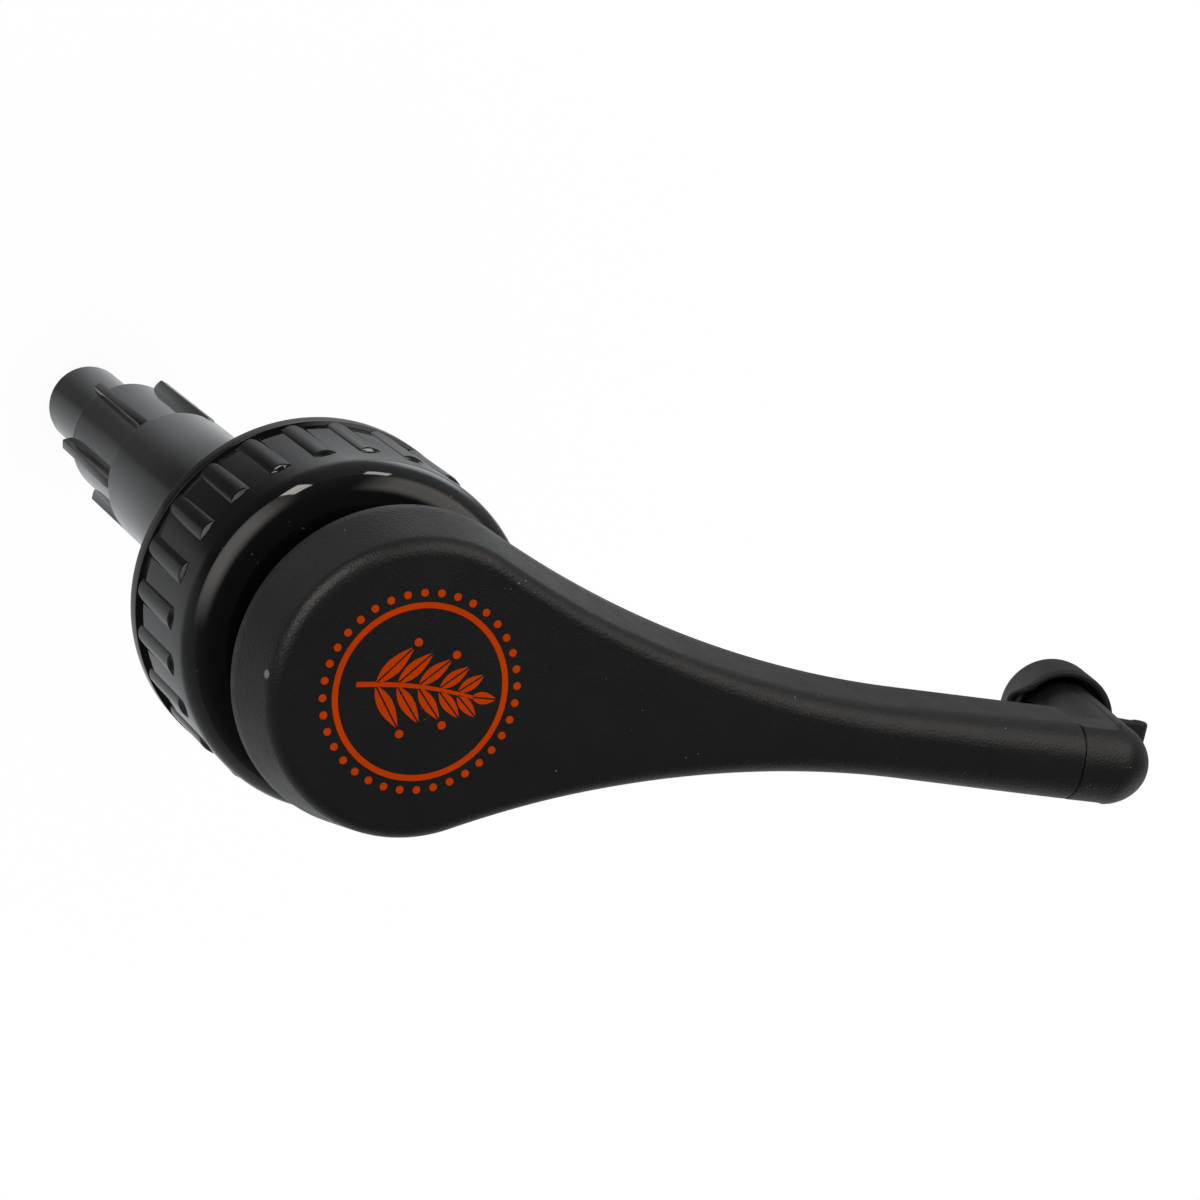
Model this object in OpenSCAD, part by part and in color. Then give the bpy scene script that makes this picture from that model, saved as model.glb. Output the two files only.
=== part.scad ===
// Hand pump for a liquor bottle: a press-down head with a long spout arm, a screw-on collar,
// and a ball-valved piston pump in a finned barrel. The pump stands upright on +Z, the spout
// points along +X, and z = 0 is the face that seals on the bottle's lip. The head is shown
// pressed down, with its lock lugs lined up with the slots of the stem guide.

/* [Collar] */
// Diameter of the rim at the collar's open end
rim_d = 44; // [42.6:0.1:48]
// Height of the rim
rim_h = 2.8; // [1.5:0.1:5]
// Diameter of the collar's plain wall
collar_d = 43; // [41:0.1:43.5]
// Height of the collar
collar_h = 25; // [22:0.1:30]
// Radius of the collar's rounded shoulder
shoulder_r = 5.5; // [2:0.1:6.5]
// Thickness of the collar's top wall
collar_top_t = 2.8; // [1.5:0.1:4]
// Number of grip ribs
rib_count = 24; // [12:1:30]
// Diameter of a grip rib's round section
rib_d = 5; // [2:0.1:5.4]
// How far a rib stands proud of the wall
rib_proud = 0.4; // [0.2:0.1:0.9]
// Length of a grip rib
rib_len = 13.2; // [6:0.1:14]
// Turn of the first rib from the spout's direction
rib_phase = 4; // [0:1:14]
// Wall of the collar outside its thread
collar_wall = 2.5; // [1.6:0.1:3]
// Depth of the thread
thread_depth = 1.2; // [0.6:0.1:1.5]
// Rise of the thread in one turn
thread_pitch = 4.23; // [3:0.01:5]
// Turns of the thread
thread_turns = 2; // [1:0.25:2]
// Width of the thread's groove at its mouth
thread_groove_w = 2.9; // [1.5:0.1:3.2]

/* [Housing] */
// Clearance between the thread and the flange that the collar clamps, on the radius
flange_gap = 0.6; // [0.3:0.1:1.5]
// Thickness of the flange
flange_h = 2; // [1.2:0.1:3]
// Thickness of the bottle gasket
gasket_h = 1.5; // [0.8:0.1:2.5]
// Outside diameter of the upper barrel
barrel_d = 19; // [18:0.1:22]
// Bore of the upper barrel
barrel_bore_d = 15.8; // [15:0.1:17]
// Length of the upper barrel below the lip seat
barrel_len = 75.6; // [70:0.1:90]
// Radius of the rounded step under the upper barrel
barrel_round_r = 1.2; // [0.4:0.1:1.5]
// Outside diameter of the lower barrel
lower_d = 16.4; // [15.5:0.1:17.5]
// Bore of the lower barrel, which holds the spring
lower_bore_d = 13.2; // [12.6:0.1:14]
// Length of the lower barrel
lower_len = 24; // [22:0.1:34]
// Number of fins on the lower barrel
fin_count = 6; // [3:1:8]
// Diameter across the fins
fin_d = 19.8; // [17.6:0.1:22]
// Thickness of a fin
fin_t = 1.5; // [0.8:0.1:2.5]
// Length of a fin
fin_len = 23.6; // [10:0.1:23.8]
// Turn of the first fin from the spout's direction
fin_phase = 10; // [0:1:59]
// Outside diameter of the spigot for the dip tube
spigot_d = 11.4; // [10.6:0.1:12.4]
// Length of the spigot below the lower barrel
spigot_len = 22; // [18:0.1:30]
// Radius of the spigot's rounded end
spigot_round_r = 0.4; // [0.2:0.1:0.8]
// Bore for the dip tube
dip_bore_d = 8.2; // [6:0.1:8.8]
// Depth of the dip tube's bore
dip_bore_len = 13; // [8:0.1:14]

/* [Head] */
// Gap between the collar and the pressed-down head
head_gap = 7.9; // [7:0.1:12]
// Height of the head and arm
head_h = 9.8; // [9.4:0.1:12]
// Diameter of the head at its lower edge
head_d = 38.8; // [36:0.1:42]
// Lean of the head's wall from upright
head_draft = 11.5; // [4:0.5:14]
// Width of the arm's neck at its lower edge
arm_w = 10.2; // [9.8:0.1:13]
// Lean of the arm's sides from upright, at its end
arm_draft = 2.5; // [0:0.5:4]
// Radius of the head's rounded top edge
head_round_r = 2.1; // [1:0.1:2.4]
// Radius of the arm's rounded top edge, at its end
arm_round_r = 4.2; // [2:0.1:4.3]
// Distance from the pump's axis to where the arm becomes straight
flank_x = 64; // [50:0.5:75]
// Distance from the pump's axis to the end of the arm
arm_len = 87.5; // [80:0.5:110]
// Wall of the head's hollow underside
head_wall = 2.2; // [1.5:0.1:3]
// Thickness of the head's top
head_top_t = 2.4; // [2:0.1:3]
// Length of the hollow underside along the arm
hollow_len = 48; // [30:0.5:50]
// Diameter of the flow channel along the arm
channel_d = 5.2; // [4:0.1:5.6]
// Wall of the flow channel in the hollow underside
channel_wall = 1.6; // [1:0.1:2.2]
// Diameter of the boss that holds the stem
boss_d = 13.6; // [13:0.1:15]
// Radial height of a lock lug
lug_r = 1.6; // [0.8:0.1:2]
// Height of a lock lug
lug_h = 1.6; // [1:0.1:2]
// Angle that a lock lug spans
lug_angle = 50; // [20:1:70]

/* [Nozzle] */
// Diameter of the elbow
elbow_d = 10.5; // [10:0.1:11.5]
// Straight length of the elbow before its bend
elbow_straight = 5.7; // [2:0.1:8]
// Lean of the nozzle's leg away from straight down
leg_tilt = 12; // [0:1:20]
// Distance of the leg's axis beyond the centre of the elbow's domed end
leg_shift = 0.6; // [0:0.1:1]
// Diameter of the leg
leg_d = 10.2; // [9.4:0.1:10.4]
// Length of the leg from the bend's centre
leg_len = 25.3; // [18:0.1:30]
// Diameter of the elbow's plug in the arm
elbow_plug_d = 7.2; // [6.4:0.1:7.6]
// Length of the elbow's plug in the arm
elbow_plug_len = 6; // [3:0.1:10]
// Bore of the nozzle
nozzle_bore_d = 4.6; // [3:0.1:5]
// Outside diameter of the cap at its closed end
cap_d = 12.8; // [12.4:0.1:15]
// Outside diameter of the cap at its rim
cap_rim_d = 13; // [12.4:0.1:16]
// Height of the cap
cap_h = 7.2; // [6.6:0.1:11]
// Wall of the cap
cap_wall = 0.7; // [0.5:0.1:0.8]
// Height of the ring inside the cap that grips the leg
cap_grip_h = 4; // [2:0.1:5]
// Depth of the dip in the cap's rim, on the side that faces the pump
cap_dip = 4; // [0:0.1:5]
// Half of the angle that the dip spans
cap_dip_angle = 28; // [15:1:50]
// Length of the cap's pull tab beyond its wall
tab_len = 4.4; // [4:0.1:10]
// Width of the pull tab
tab_w = 3; // [2:0.1:5]
// Thickness of the pull tab
tab_t = 1.2; // [0.8:0.1:2]
// Thickness of the bead at the tab's end
tab_bead_d = 2; // [1.2:0.1:3]

/* [Plunger] */
// Diameter of the stem
stem_d = 10; // [9.2:0.1:11]
// Bore of the stem
stem_bore_d = 6.4; // [5:0.1:6.8]
// Diameter of the stem's end inside the piston
stem_end_d = 8.6; // [8:0.1:9]
// Height of the piston
piston_h = 10; // [7:0.1:14]
// Height of each sealing lip of the piston
lip_h = 2; // [1:0.1:3]
// How far a lip stands proud of the piston's waist
lip_proud = 1.2; // [0.5:0.1:1.8]
// Diameter of the piston retainer's flange
retainer_d = 11.6; // [11:0.1:12]
// Thickness of the piston retainer's flange
retainer_h = 2; // [1:0.1:3]
// Length of the piston retainer's plug in the stem
retainer_plug_len = 6; // [3:0.1:9]
// Length of the pump's stroke, which ends when the piston meets the stem guide
stroke = 50; // [40:1:52]
// Room under the piston at the bottom of its stroke
piston_room = 1.6; // [0.8:0.1:3]
// Wall of the piston retainer's plug
retainer_wall = 1; // [0.8:0.1:1.4]

/* [Valves and spring] */
// Diameter of the inlet ball
inlet_ball_d = 7; // [6.4:0.1:7.4]
// Hole that the inlet ball closes
inlet_hole_d = 4.9; // [3.5:0.1:5.6]
// Lift of the inlet ball
inlet_lift = 2.4; // [1.5:0.1:3]
// Diameter of the outlet ball
outlet_ball_d = 5.6; // [5:0.1:6]
// Hole that the outlet ball closes
outlet_hole_d = 4; // [2.5:0.1:4.4]
// Thickness of the stop rib over the outlet ball
stop_t = 1; // [0.6:0.1:2]
// Height of the stop over the outlet ball, above the stem's end
outlet_stop_h = 0.6; // [0.2:0.1:1.5]
// Lift of the outlet ball
outlet_lift = 2; // [1:0.1:2.2]
// Thickness of the outlet valve's seat
outlet_seat_h = 2; // [1.2:0.1:3]
// Thickness of the ball cage's disc
cage_h = 2; // [1.2:0.1:2.5]
// Height of the ball cage's boss inside the spring
cage_boss_h = 3; // [1:0.1:4]
// Diameter of a flow hole in the ball cage
cage_hole_d = 2.2; // [1:0.1:2.6]
// Diameter of the circle that the cage's flow holes lie on
cage_hole_pcd = 5; // [4:0.1:5.4]
// Wire diameter of the return spring
wire_d = 1; // [0.7:0.05:1.1]
// Coils of the return spring
coil_count = 11; // [8:1:12]
// Outside diameter of the return spring
spring_d = 11.4; // [10.8:0.1:12]

/* [Stem guide] */
// Diameter of the guide's tower above the collar
tower_d = 23; // [21:0.1:25.5]
// Height of the lock groove's floor above the flange
tower_floor_h = 4.1; // [3:0.1:4.5]
// Height of the tower's lip over the lock groove
tower_lip_h = 3.2; // [2:0.1:4]
// Height of the lock groove
lock_groove_h = 2.6; // [2.2:0.1:3]
// Angle that a lock slot is wider than its lug
slot_slack = 10; // [4:1:20]
// Height of the stem seal
seal_h = 2.7; // [1.5:0.1:4]
// Width of the stem seal's section
seal_w = 1.6; // [1:0.1:2]

/* [Clearances] */
// Running clearance on the radius of sliding round fits
run_gap = 0.06; // [0.02:0.01:0.1]
// Clearance on the radius of pressed round fits
press_gap = 0.02; // [0.005:0.005:0.03]
// Clearance between pieces that move past each other
free_gap = 0.3; // [0.2:0.05:0.5]
// End play of the collar on the flange
collar_play = 0.1; // [0.05:0.05:0.3]

/* [Hidden] */
$fn = 64;
// Overshoot of cuts past the faces that they open
cut = 1;
// Overlap that joins the solids of one piece
join = 0.2;
// Segments of a rounded edge, and of the head's outline arcs
round_steps = 8;
arc_steps = 28;
// Segments of the spring in one turn, and sides of its wire's section
coil_steps = 8;
wire_sides = 6;

// Thread and flange inside the collar
thread_root_d = collar_d - 2 * collar_wall;
thread_crest_d = thread_root_d - 2 * thread_depth;
flange_d = thread_crest_d - 2 * flange_gap;

// Levels of the collar and housing
flange_top = gasket_h + flange_h;
collar_in_top = flange_top + collar_play;
collar_top = collar_in_top + collar_top_t;
rim_z = collar_top - collar_h;
barrel_z = -barrel_len;
lower_z = barrel_z - lower_len;
spigot_z = lower_z - spigot_len;
collar_hole_r = tower_d / 2 + 2 * free_gap;
thread_len = (thread_turns + 1) * thread_pitch;
thread_z = -thread_len - gasket_h;

// Levels of the inlet valve, from the pocket's floor down
barrel_wall = (barrel_d - barrel_bore_d) / 2;
bore_z = barrel_z + barrel_wall;
pocket_z = lower_z + cage_h;
ball_room_r = inlet_ball_d / 2 + 2 * free_gap;
dip_bore_z = spigot_z + dip_bore_len;
inlet_hole_r = inlet_hole_d / 2;
inlet_ball_z = pocket_z - inlet_lift - inlet_ball_d / 2 - free_gap;
inlet_seat_z = inlet_ball_z - sqrt(pow(inlet_ball_d / 2, 2) - pow(inlet_hole_r, 2)) - run_gap;
cage_top = pocket_z + cage_h;

// Levels of the stem guide and head
guide_floor = flange_top + tower_floor_h;
groove_top = guide_floor + lock_groove_h;
tower_top = groove_top + tower_lip_h;
boss_z = guide_floor + free_gap;
head_z = collar_top + head_gap;
head_top = head_z + head_h;
channel_z = head_z + head_h / 2;
stem_top = channel_z - channel_d / 2 + join;
head_ceiling = head_top - head_top_t;

// Levels of the plunger, from the bottom of the bore up
piston_z = bore_z + piston_room;
shoulder_z = piston_z + piston_h;
retainer_z = piston_z - press_gap - retainer_h;
waist_r = barrel_bore_d / 2 - run_gap - lip_proud;
guide_plug_z = shoulder_z + stroke + free_gap;
outlet_room_r = outlet_ball_d / 2 + 3 * free_gap;
outlet_hole_r = outlet_hole_d / 2;
outlet_stop_z = stem_top + outlet_stop_h;
outlet_ball_z = outlet_stop_z - free_gap - outlet_lift - outlet_ball_d / 2;
outlet_seat_top = outlet_ball_z - sqrt(pow(outlet_ball_d / 2, 2) - pow(outlet_hole_r, 2)) - run_gap;
outlet_seat_z = outlet_seat_top - outlet_seat_h;

// Spring between the ball cage and the piston retainer
spring_z = cage_top + free_gap;
spring_h = retainer_z - free_gap - spring_z;
spring_pitch = (spring_h - wire_d) / coil_count;
spring_in_r = (spring_d / 2 - wire_d) * cos(180 / coil_steps);

// Bend of the nozzle
bend_x = arm_len + elbow_straight;
bend_z = head_top - elbow_d / 2;

// Points on an arc, from angle a0 to a1
function arc(cx, cy, r, a0, a1, n = round_steps) =
    [for (i = [0:n]) let (a = a0 + (a1 - a0) * i / n) [cx + r * cos(a), cy + r * sin(a)]];

// Half of the head's plan on +Y: a round head and a hollow flank that meet smoothly, then the neck;
// each point comes with its outward direction
function flank_r(r, w, x0) = (x0 * x0 + w * w - r * r) / (2 * r - 2 * w);
function head_half(r, w, x0, x1) =
    let (
        fr = flank_r(r, w, x0),
        turn = atan2(w + fr, x0)
    )
    concat(
        [for (i = [0:arc_steps])
            let (
                a = 180 + (turn - 180) * i / arc_steps,
                out = [cos(a), sin(a)]
            )
            [r * out, out]],
        [for (i = [1:arc_steps])
            let (
                a = turn + (90 - turn) * i / arc_steps,
                out = [cos(a), sin(a)]
            )
            [[x0, w + fr] - fr * out, out]],
        [[[x1, w], [0, 1]]]
    );

// Half outline joined to its mirror image on -Y
function whole(half) =
    concat(half, [for (i = [len(half) - 1:-1:1])
        [for (k = [0:len(half[i]) - 1]) (k == 1 ? -1 : 1) * half[i][k]]]);

// The wall's lean and the top edge's radius change evenly from the round head to the arm's end
function along_arm(x) = max(0, min(1, (x - head_d / 2) / (arm_len - head_d / 2)));
function wall_lean(x) = head_draft + (arm_draft - head_draft) * along_arm(x);
function edge_r(x) = head_round_r + (arm_round_r - head_round_r) * along_arm(x);

// Inset and level of the rounded top edge, from share 0 at the wall to share 1 at the flat top
function edge_point(x, share) =
    let (
        r = edge_r(x),
        lean = wall_lean(x),
        wall_h = head_h - r * (1 - sin(lean)),
        axis = wall_h * tan(lean) + r * cos(lean),
        a = lean + (90 - lean) * share
    )
    [axis - r * cos(a), head_top - r * (1 - sin(a))];

// Solid through rings of equal point counts, whose first and last rings are flat
module loft(rings) {
    n = len(rings[0]);
    m = len(rings);
    points = [for (ring = rings) for (q = ring) q];
    sides = [for (k = [0:m - 2]) for (i = [0:n - 1])
        let (j = (i + 1) % n)
        each [
            [k * n + i, (k + 1) * n + i, k * n + j],
            [k * n + j, (k + 1) * n + i, (k + 1) * n + j]
        ]];
    half = floor(n / 2);
    // The end faces are strips between each point on +Y and its mirror point on -Y
    strip = [for (i = [1:half])
        let (b = n - i, a2 = i + 1, b2 = n - i - 1)
        each concat(
            i == 1 ? [[0, 1, n - 1]] : [],
            a2 < b2 ? [[i, a2, b], [a2, b2, b]] : (a2 == b2 ? [[i, a2, b]] : [])
        )];
    top = [for (f = strip) [for (v = f) v + (m - 1) * n]];
    bottom = [for (f = strip) [f[2], f[1], f[0]]];
    polyhedron(points = points, faces = concat(sides, top, bottom));
}

// Ring of rectangular section
module ring(r_in, r_out, z0, z1) {
    translate([0, 0, z0])
        difference() {
            cylinder(r = r_out, h = z1 - z0);
            translate([0, 0, -cut])
                cylinder(r = r_in, h = z1 - z0 + 2 * cut);
        }
}

module post(r, z0, z1) {
    translate([0, 0, z0])
        cylinder(r = r, h = z1 - z0);
}

// Sector of a ring, centred on angle a
module sector(r_in, r_out, span, a, z0, z1) {
    rotate([0, 0, a - span / 2])
        translate([0, 0, z0])
            rotate_extrude(angle = span)
                translate([r_in, 0])
                    square([r_out - r_in, z1 - z0]);
}

module along_x(r, x0, x1, z) {
    translate([x0, 0, z])
        rotate([0, 90, 0])
            cylinder(r = r, h = x1 - x0);
}

// Frame of the nozzle's leg: origin at the bend, +Z along the leg towards the outlet
module at_leg() {
    translate([bend_x + leg_shift, 0, bend_z])
        rotate([0, 180 - leg_tilt, 0])
            children();
}

module head_shell() {
    half = head_half(head_d / 2, arm_w / 2, flank_x, arm_len);
    foot = [for (p = half) [p[0][0], p[0][1], head_z]];
    edges = [for (k = [0:round_steps])
        [for (p = half)
            let (
                e = edge_point(p[0][0], k / round_steps),
                q = p[0] - e[0] * p[1]
            )
            [q[0], q[1], e[1]]]];
    loft([for (half_ring = concat([foot], edges)) whole(half_ring)]);
}

// Hollow underside of the head on both sides of the channel's wall, where the flanks leave room
module head_hollow() {
    r = head_d / 2 - (head_ceiling - head_z) * tan(head_draft) - head_wall;
    w = channel_d / 2;
    wall_r = w + channel_wall;
    difference() {
        translate([0, 0, head_z - cut])
            linear_extrude(head_ceiling - head_z + cut)
                polygon(whole([for (p = head_half(r, w, hollow_len, hollow_len + join)) p[0]]));
        translate([0, -wall_r, channel_z - wall_r])
            cube([arm_len, 2 * wall_r, head_h]);
    }
}

module actuator_head() {
    lug_z = boss_z + join;
    color([0.11, 0.11, 0.12])
        difference() {
            union() {
                difference() {
                    head_shell();
                    head_hollow();
                }
                post(boss_d / 2, boss_z, head_ceiling + join);
                for (a = [0, 180])
                    sector(boss_d / 2 - join, boss_d / 2 + lug_r, lug_angle, a, lug_z, lug_z + lug_h);
            }
            post(stem_d / 2 + press_gap, boss_z - cut, stem_top);
            difference() {
                post(outlet_room_r, stem_top - join, head_ceiling - join);
                translate([-outlet_room_r - cut, -stop_t / 2, outlet_stop_z])
                    cube([outlet_room_r + cut, stop_t, head_top - outlet_stop_z]);
            }
            along_x(channel_d / 2, 0, arm_len + cut, channel_z);
            along_x(elbow_plug_d / 2 + press_gap, arm_len - elbow_plug_len, arm_len + cut, channel_z);
        }
}

module nozzle_elbow() {
    color([0.11, 0.11, 0.12])
        difference() {
            union() {
                along_x(elbow_plug_d / 2, arm_len - elbow_plug_len + free_gap, arm_len + join, channel_z);
                along_x(elbow_d / 2, arm_len, bend_x, bend_z);
                translate([bend_x, 0, bend_z])
                    sphere(d = elbow_d);
                at_leg() {
                    sphere(d = leg_d);
                    cylinder(d = leg_d, h = leg_len);
                }
            }
            along_x(nozzle_bore_d / 2, arm_len - elbow_plug_len - cut, bend_x + leg_shift, channel_z);
            at_leg()
                translate([0, 0, channel_z - bend_z])
                    cylinder(d = nozzle_bore_d, h = leg_len + cut + bend_z - channel_z);
            translate([bend_x + leg_shift, 0, channel_z])
                sphere(d = nozzle_bore_d);
        }
}

// Cup over the outlet, open towards the elbow, with a gripping ring, a dipped rim and a pull tab
module nozzle_cap() {
    cap_floor = leg_len + free_gap;
    cap_end = cap_floor + cap_wall;
    cap_rim = cap_end - cap_h;
    grip_r = leg_d / 2 + run_gap;
    grip_z = cap_floor - cap_grip_h;
    rim_r = cap_rim_d / 2;
    tab_r = cap_d / 2 + tab_len;
    color([0.14, 0.14, 0.15])
        at_leg()
            difference() {
                union() {
                    rotate_extrude()
                        polygon([
                            [0, cap_end], [cap_d / 2, cap_end], [rim_r, cap_rim],
                            [rim_r - cap_wall, cap_rim], [cap_d / 2 - cap_wall, grip_z],
                            [grip_r, grip_z], [grip_r, cap_floor], [0, cap_floor]
                        ]);
                    translate([-tab_r, -tab_w / 2, cap_rim])
                        cube([tab_r - rim_r + cap_wall / 2, tab_w, tab_t]);
                    translate([-tab_r, tab_w / 2, cap_rim + tab_bead_d / 2])
                        rotate([90, 0, 0])
                            cylinder(d = tab_bead_d, h = tab_w);
                }
                translate([cap_d / 2 * cos(cap_dip_angle), -rim_r, cap_rim - cut])
                    cube([rim_r, cap_rim_d, cap_dip + cut]);
            }
}

module stem() {
    color([0.85, 0.85, 0.83])
        difference() {
            union() {
                post(stem_d / 2, shoulder_z, stem_top - press_gap);
                post(stem_end_d / 2, piston_z, shoulder_z + join);
            }
            post(stem_bore_d / 2, piston_z - cut, stem_top + cut);
            post(outlet_room_r, outlet_seat_z, stem_top + cut);
        }
}

module outlet_seat() {
    color([0.9, 0.9, 0.88])
        difference() {
            post(outlet_room_r - press_gap, outlet_seat_z, outlet_seat_top);
            post(outlet_hole_r, outlet_seat_z - cut, outlet_seat_top + cut);
        }
}

module outlet_ball() {
    color("silver")
        translate([0, 0, outlet_ball_z])
            sphere(d = outlet_ball_d);
}

// Waisted piston with a sealing lip at each end
module piston() {
    lip = barrel_bore_d / 2 - run_gap;
    bore = stem_end_d / 2 + run_gap;
    color([0.92, 0.92, 0.9])
        rotate_extrude()
            polygon([
                [bore, piston_z + press_gap],
                [waist_r, piston_z + press_gap],
                [lip, piston_z + press_gap + lip_proud / 2],
                [lip, piston_z + lip_h],
                [waist_r, piston_z + lip_h + lip_proud],
                [waist_r, shoulder_z - lip_h - lip_proud],
                [lip, shoulder_z - lip_h],
                [lip, shoulder_z - lip_proud / 2],
                [waist_r, shoulder_z - run_gap],
                [bore, shoulder_z - run_gap]
            ]);
}

module piston_retainer() {
    plug_r = stem_bore_d / 2 - press_gap;
    plug_top = piston_z + retainer_plug_len;
    color([0.85, 0.85, 0.83])
        difference() {
            union() {
                post(retainer_d / 2, retainer_z, retainer_z + retainer_h);
                post(plug_r, retainer_z + retainer_h - join, plug_top);
            }
            post(plug_r - retainer_wall, retainer_z - cut, plug_top + cut);
        }
}

// Helix of the return spring: one swept tube with a hexagonal section
function coil_point(i, rings) =
    let (a = 360 * coil_count * i / rings)
    [(spring_d - wire_d) / 2 * cos(a), (spring_d - wire_d) / 2 * sin(a),
     spring_z + wire_d / 2 + coil_count * spring_pitch * i / rings];

module return_spring() {
    rings = coil_steps * coil_count;
    sides = wire_sides;
    points = [for (i = [0:rings]) for (k = [0:sides - 1])
        let (
            c = coil_point(i, rings),
            a = 360 * coil_count * i / rings,
            b = 360 * k / sides
        )
        c + wire_d / 2 * [cos(b) * cos(a), cos(b) * sin(a), sin(b)]];
    tube = [for (i = [0:rings - 1]) for (k = [0:sides - 1])
        let (
            j = (k + 1) % sides,
            p = i * sides,
            q = p + sides
        )
        each [[p + k, p + j, q + k], [p + j, q + j, q + k]]];
    ends = [for (k = [1:sides - 2])
        each [[0, k + 1, k], [rings * sides, rings * sides + k, rings * sides + k + 1]]];
    // Least gap between turns, measured on the tube's centre points one turn apart and beyond
    gap = min([for (i = [0:rings - coil_steps]) for (j = [i + coil_steps - 2:min(i + coil_steps + 2, rings)])
        norm(coil_point(i, rings) - coil_point(j, rings))]) - wire_d;
    echo(least_gap_between_spring_turns = gap);
    color("silver")
        polyhedron(points = points, faces = concat(tube, ends));
}

module pump_housing() {
    r1 = barrel_d / 2;
    r2 = lower_d / 2;
    r3 = spigot_d / 2;
    round_r = barrel_round_r;
    fillet_r = r2 - r3;
    color([0.08, 0.08, 0.09])
        difference() {
            union() {
                rotate_extrude()
                    polygon(concat(
                        [[0, flange_top], [flange_d / 2, flange_top]],
                        [[flange_d / 2, gasket_h], [r1, gasket_h]],
                        arc(r1 - round_r, barrel_z + round_r, round_r, 0, -90),
                        [[r2, barrel_z]],
                        arc(r3 + fillet_r, lower_z - fillet_r, fillet_r, 90, 180),
                        arc(r3 - spigot_round_r, spigot_z + spigot_round_r, spigot_round_r, 0, -90),
                        [[0, spigot_z]]
                    ));
                for (i = [0:fin_count - 1])
                    rotate([0, 0, fin_phase + 360 * i / fin_count])
                        translate([lower_d / 2 - barrel_round_r, -fin_t / 2, barrel_z - fin_len])
                            cube([fin_d / 2 - lower_d / 2 + barrel_round_r, fin_t, fin_len + join]);
            }
            post(barrel_bore_d / 2, bore_z, flange_top + cut);
            post(lower_bore_d / 2, pocket_z, bore_z + cut);
            post(ball_room_r, inlet_seat_z, pocket_z + cut);
            post(inlet_hole_r, dip_bore_z - cut, inlet_seat_z + cut);
            post(dip_bore_d / 2, spigot_z - cut, dip_bore_z);
        }
}

// Guide plugged into the barrel: it carries the stem and its seal, and holds the head's lock lugs
module stem_guide() {
    lip_r = boss_d / 2 + free_gap;
    slot_r = boss_d / 2 + lug_r + free_gap;
    groove_r = slot_r + free_gap;
    slot_angle = lug_angle + slot_slack;
    plug_r = barrel_bore_d / 2 - press_gap;
    seal_r = stem_d / 2 + seal_w;
    color([0.1, 0.1, 0.11])
        difference() {
            union() {
                post(tower_d / 2, flange_top, tower_top);
                post(plug_r, guide_plug_z, flange_top + join);
            }
            post(stem_d / 2 + run_gap, guide_plug_z - cut, tower_top + cut);
            post(seal_r, guide_plug_z - cut, guide_plug_z + seal_h);
            post(groove_r, guide_floor, groove_top);
            post(lip_r, groove_top - join, tower_top + cut);
            for (a = [0, 180])
                sector(lip_r - join, slot_r, slot_angle, a, groove_top - join, tower_top + cut);
        }
}

module stem_seal() {
    r_in = stem_d / 2 + run_gap;
    r_out = stem_d / 2 + seal_w - press_gap;
    color([0.2, 0.2, 0.2])
        ring(r_in, r_out, guide_plug_z + run_gap, guide_plug_z + seal_h - press_gap);
}

module bottle_gasket() {
    color([0.8, 0.8, 0.78])
        ring(barrel_d / 2 + press_gap, flange_d / 2, 0, gasket_h - press_gap);
}

// Helical groove of the collar's thread, with a trapezium section
module thread_groove() {
    per_turn = 24;
    n = round(per_turn * thread_turns);
    r_in = thread_crest_d / 2 - thread_depth / 2;
    r_out = thread_root_d / 2;
    half_in = thread_groove_w / 2 + thread_depth / 4;
    half_out = thread_groove_w / 2 - thread_depth / 2;
    section = [[r_in, -half_in], [r_out, -half_out], [r_out, half_out], [r_in, half_in]];
    points = [for (i = [0:n]) for (s = section)
        [s[0] * cos(360 * i / per_turn), s[0] * sin(360 * i / per_turn), s[1] + thread_pitch * i / per_turn]];
    sides = [for (i = [0:n - 1]) for (k = [0:3])
        let (
            j = (k + 1) % 4,
            p = 4 * i,
            q = 4 * i + 4
        )
        each [[p + k, p + j, q + k], [p + j, q + j, q + k]]];
    ends = [[2, 1, 0], [3, 2, 0], [4 * n, 4 * n + 1, 4 * n + 2], [4 * n, 4 * n + 2, 4 * n + 3]];
    polyhedron(points = points, faces = concat(sides, ends));
}

module closure_collar() {
    wall_r = collar_d / 2;
    root_r = thread_root_d / 2;
    rib_r = wall_r + rib_proud - rib_d / 2;
    color([0.06, 0.06, 0.07])
        difference() {
            union() {
                rotate_extrude()
                    polygon(concat(
                        [[0, rim_z], [rim_d / 2, rim_z], [rim_d / 2, rim_z + rim_h],
                         [wall_r, rim_z + rim_h]],
                        arc(wall_r - shoulder_r, collar_top - shoulder_r, shoulder_r, 0, 90),
                        [[0, collar_top]]
                    ));
                for (i = [0:rib_count - 1])
                    rotate([0, 0, rib_phase + 360 * i / rib_count])
                        translate([rib_r, 0, rim_z + rim_h - join])
                            cylinder(d = rib_d, h = rib_len + join);
            }
            post(collar_hole_r, collar_in_top - cut, collar_top + cut);
            post(thread_crest_d / 2, thread_z - cut, collar_in_top);
            post(root_r, rim_z - cut, thread_z);
            translate([0, 0, thread_z + thread_pitch / 2])
                thread_groove();
        }
}

// Disc over the inlet ball, with flow holes, which also seats the spring
module ball_cage() {
    boss_top = cage_top + cage_boss_h;
    color([0.85, 0.85, 0.83])
        difference() {
            union() {
                post(lower_bore_d / 2 - press_gap, pocket_z, cage_top);
                post(spring_in_r - free_gap, cage_top - join, boss_top);
            }
            for (a = [45:90:315])
                rotate([0, 0, a])
                    translate([cage_hole_pcd / 2, 0, 0])
                        post(cage_hole_d / 2, pocket_z - cut, boss_top + cut);
        }
}

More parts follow.
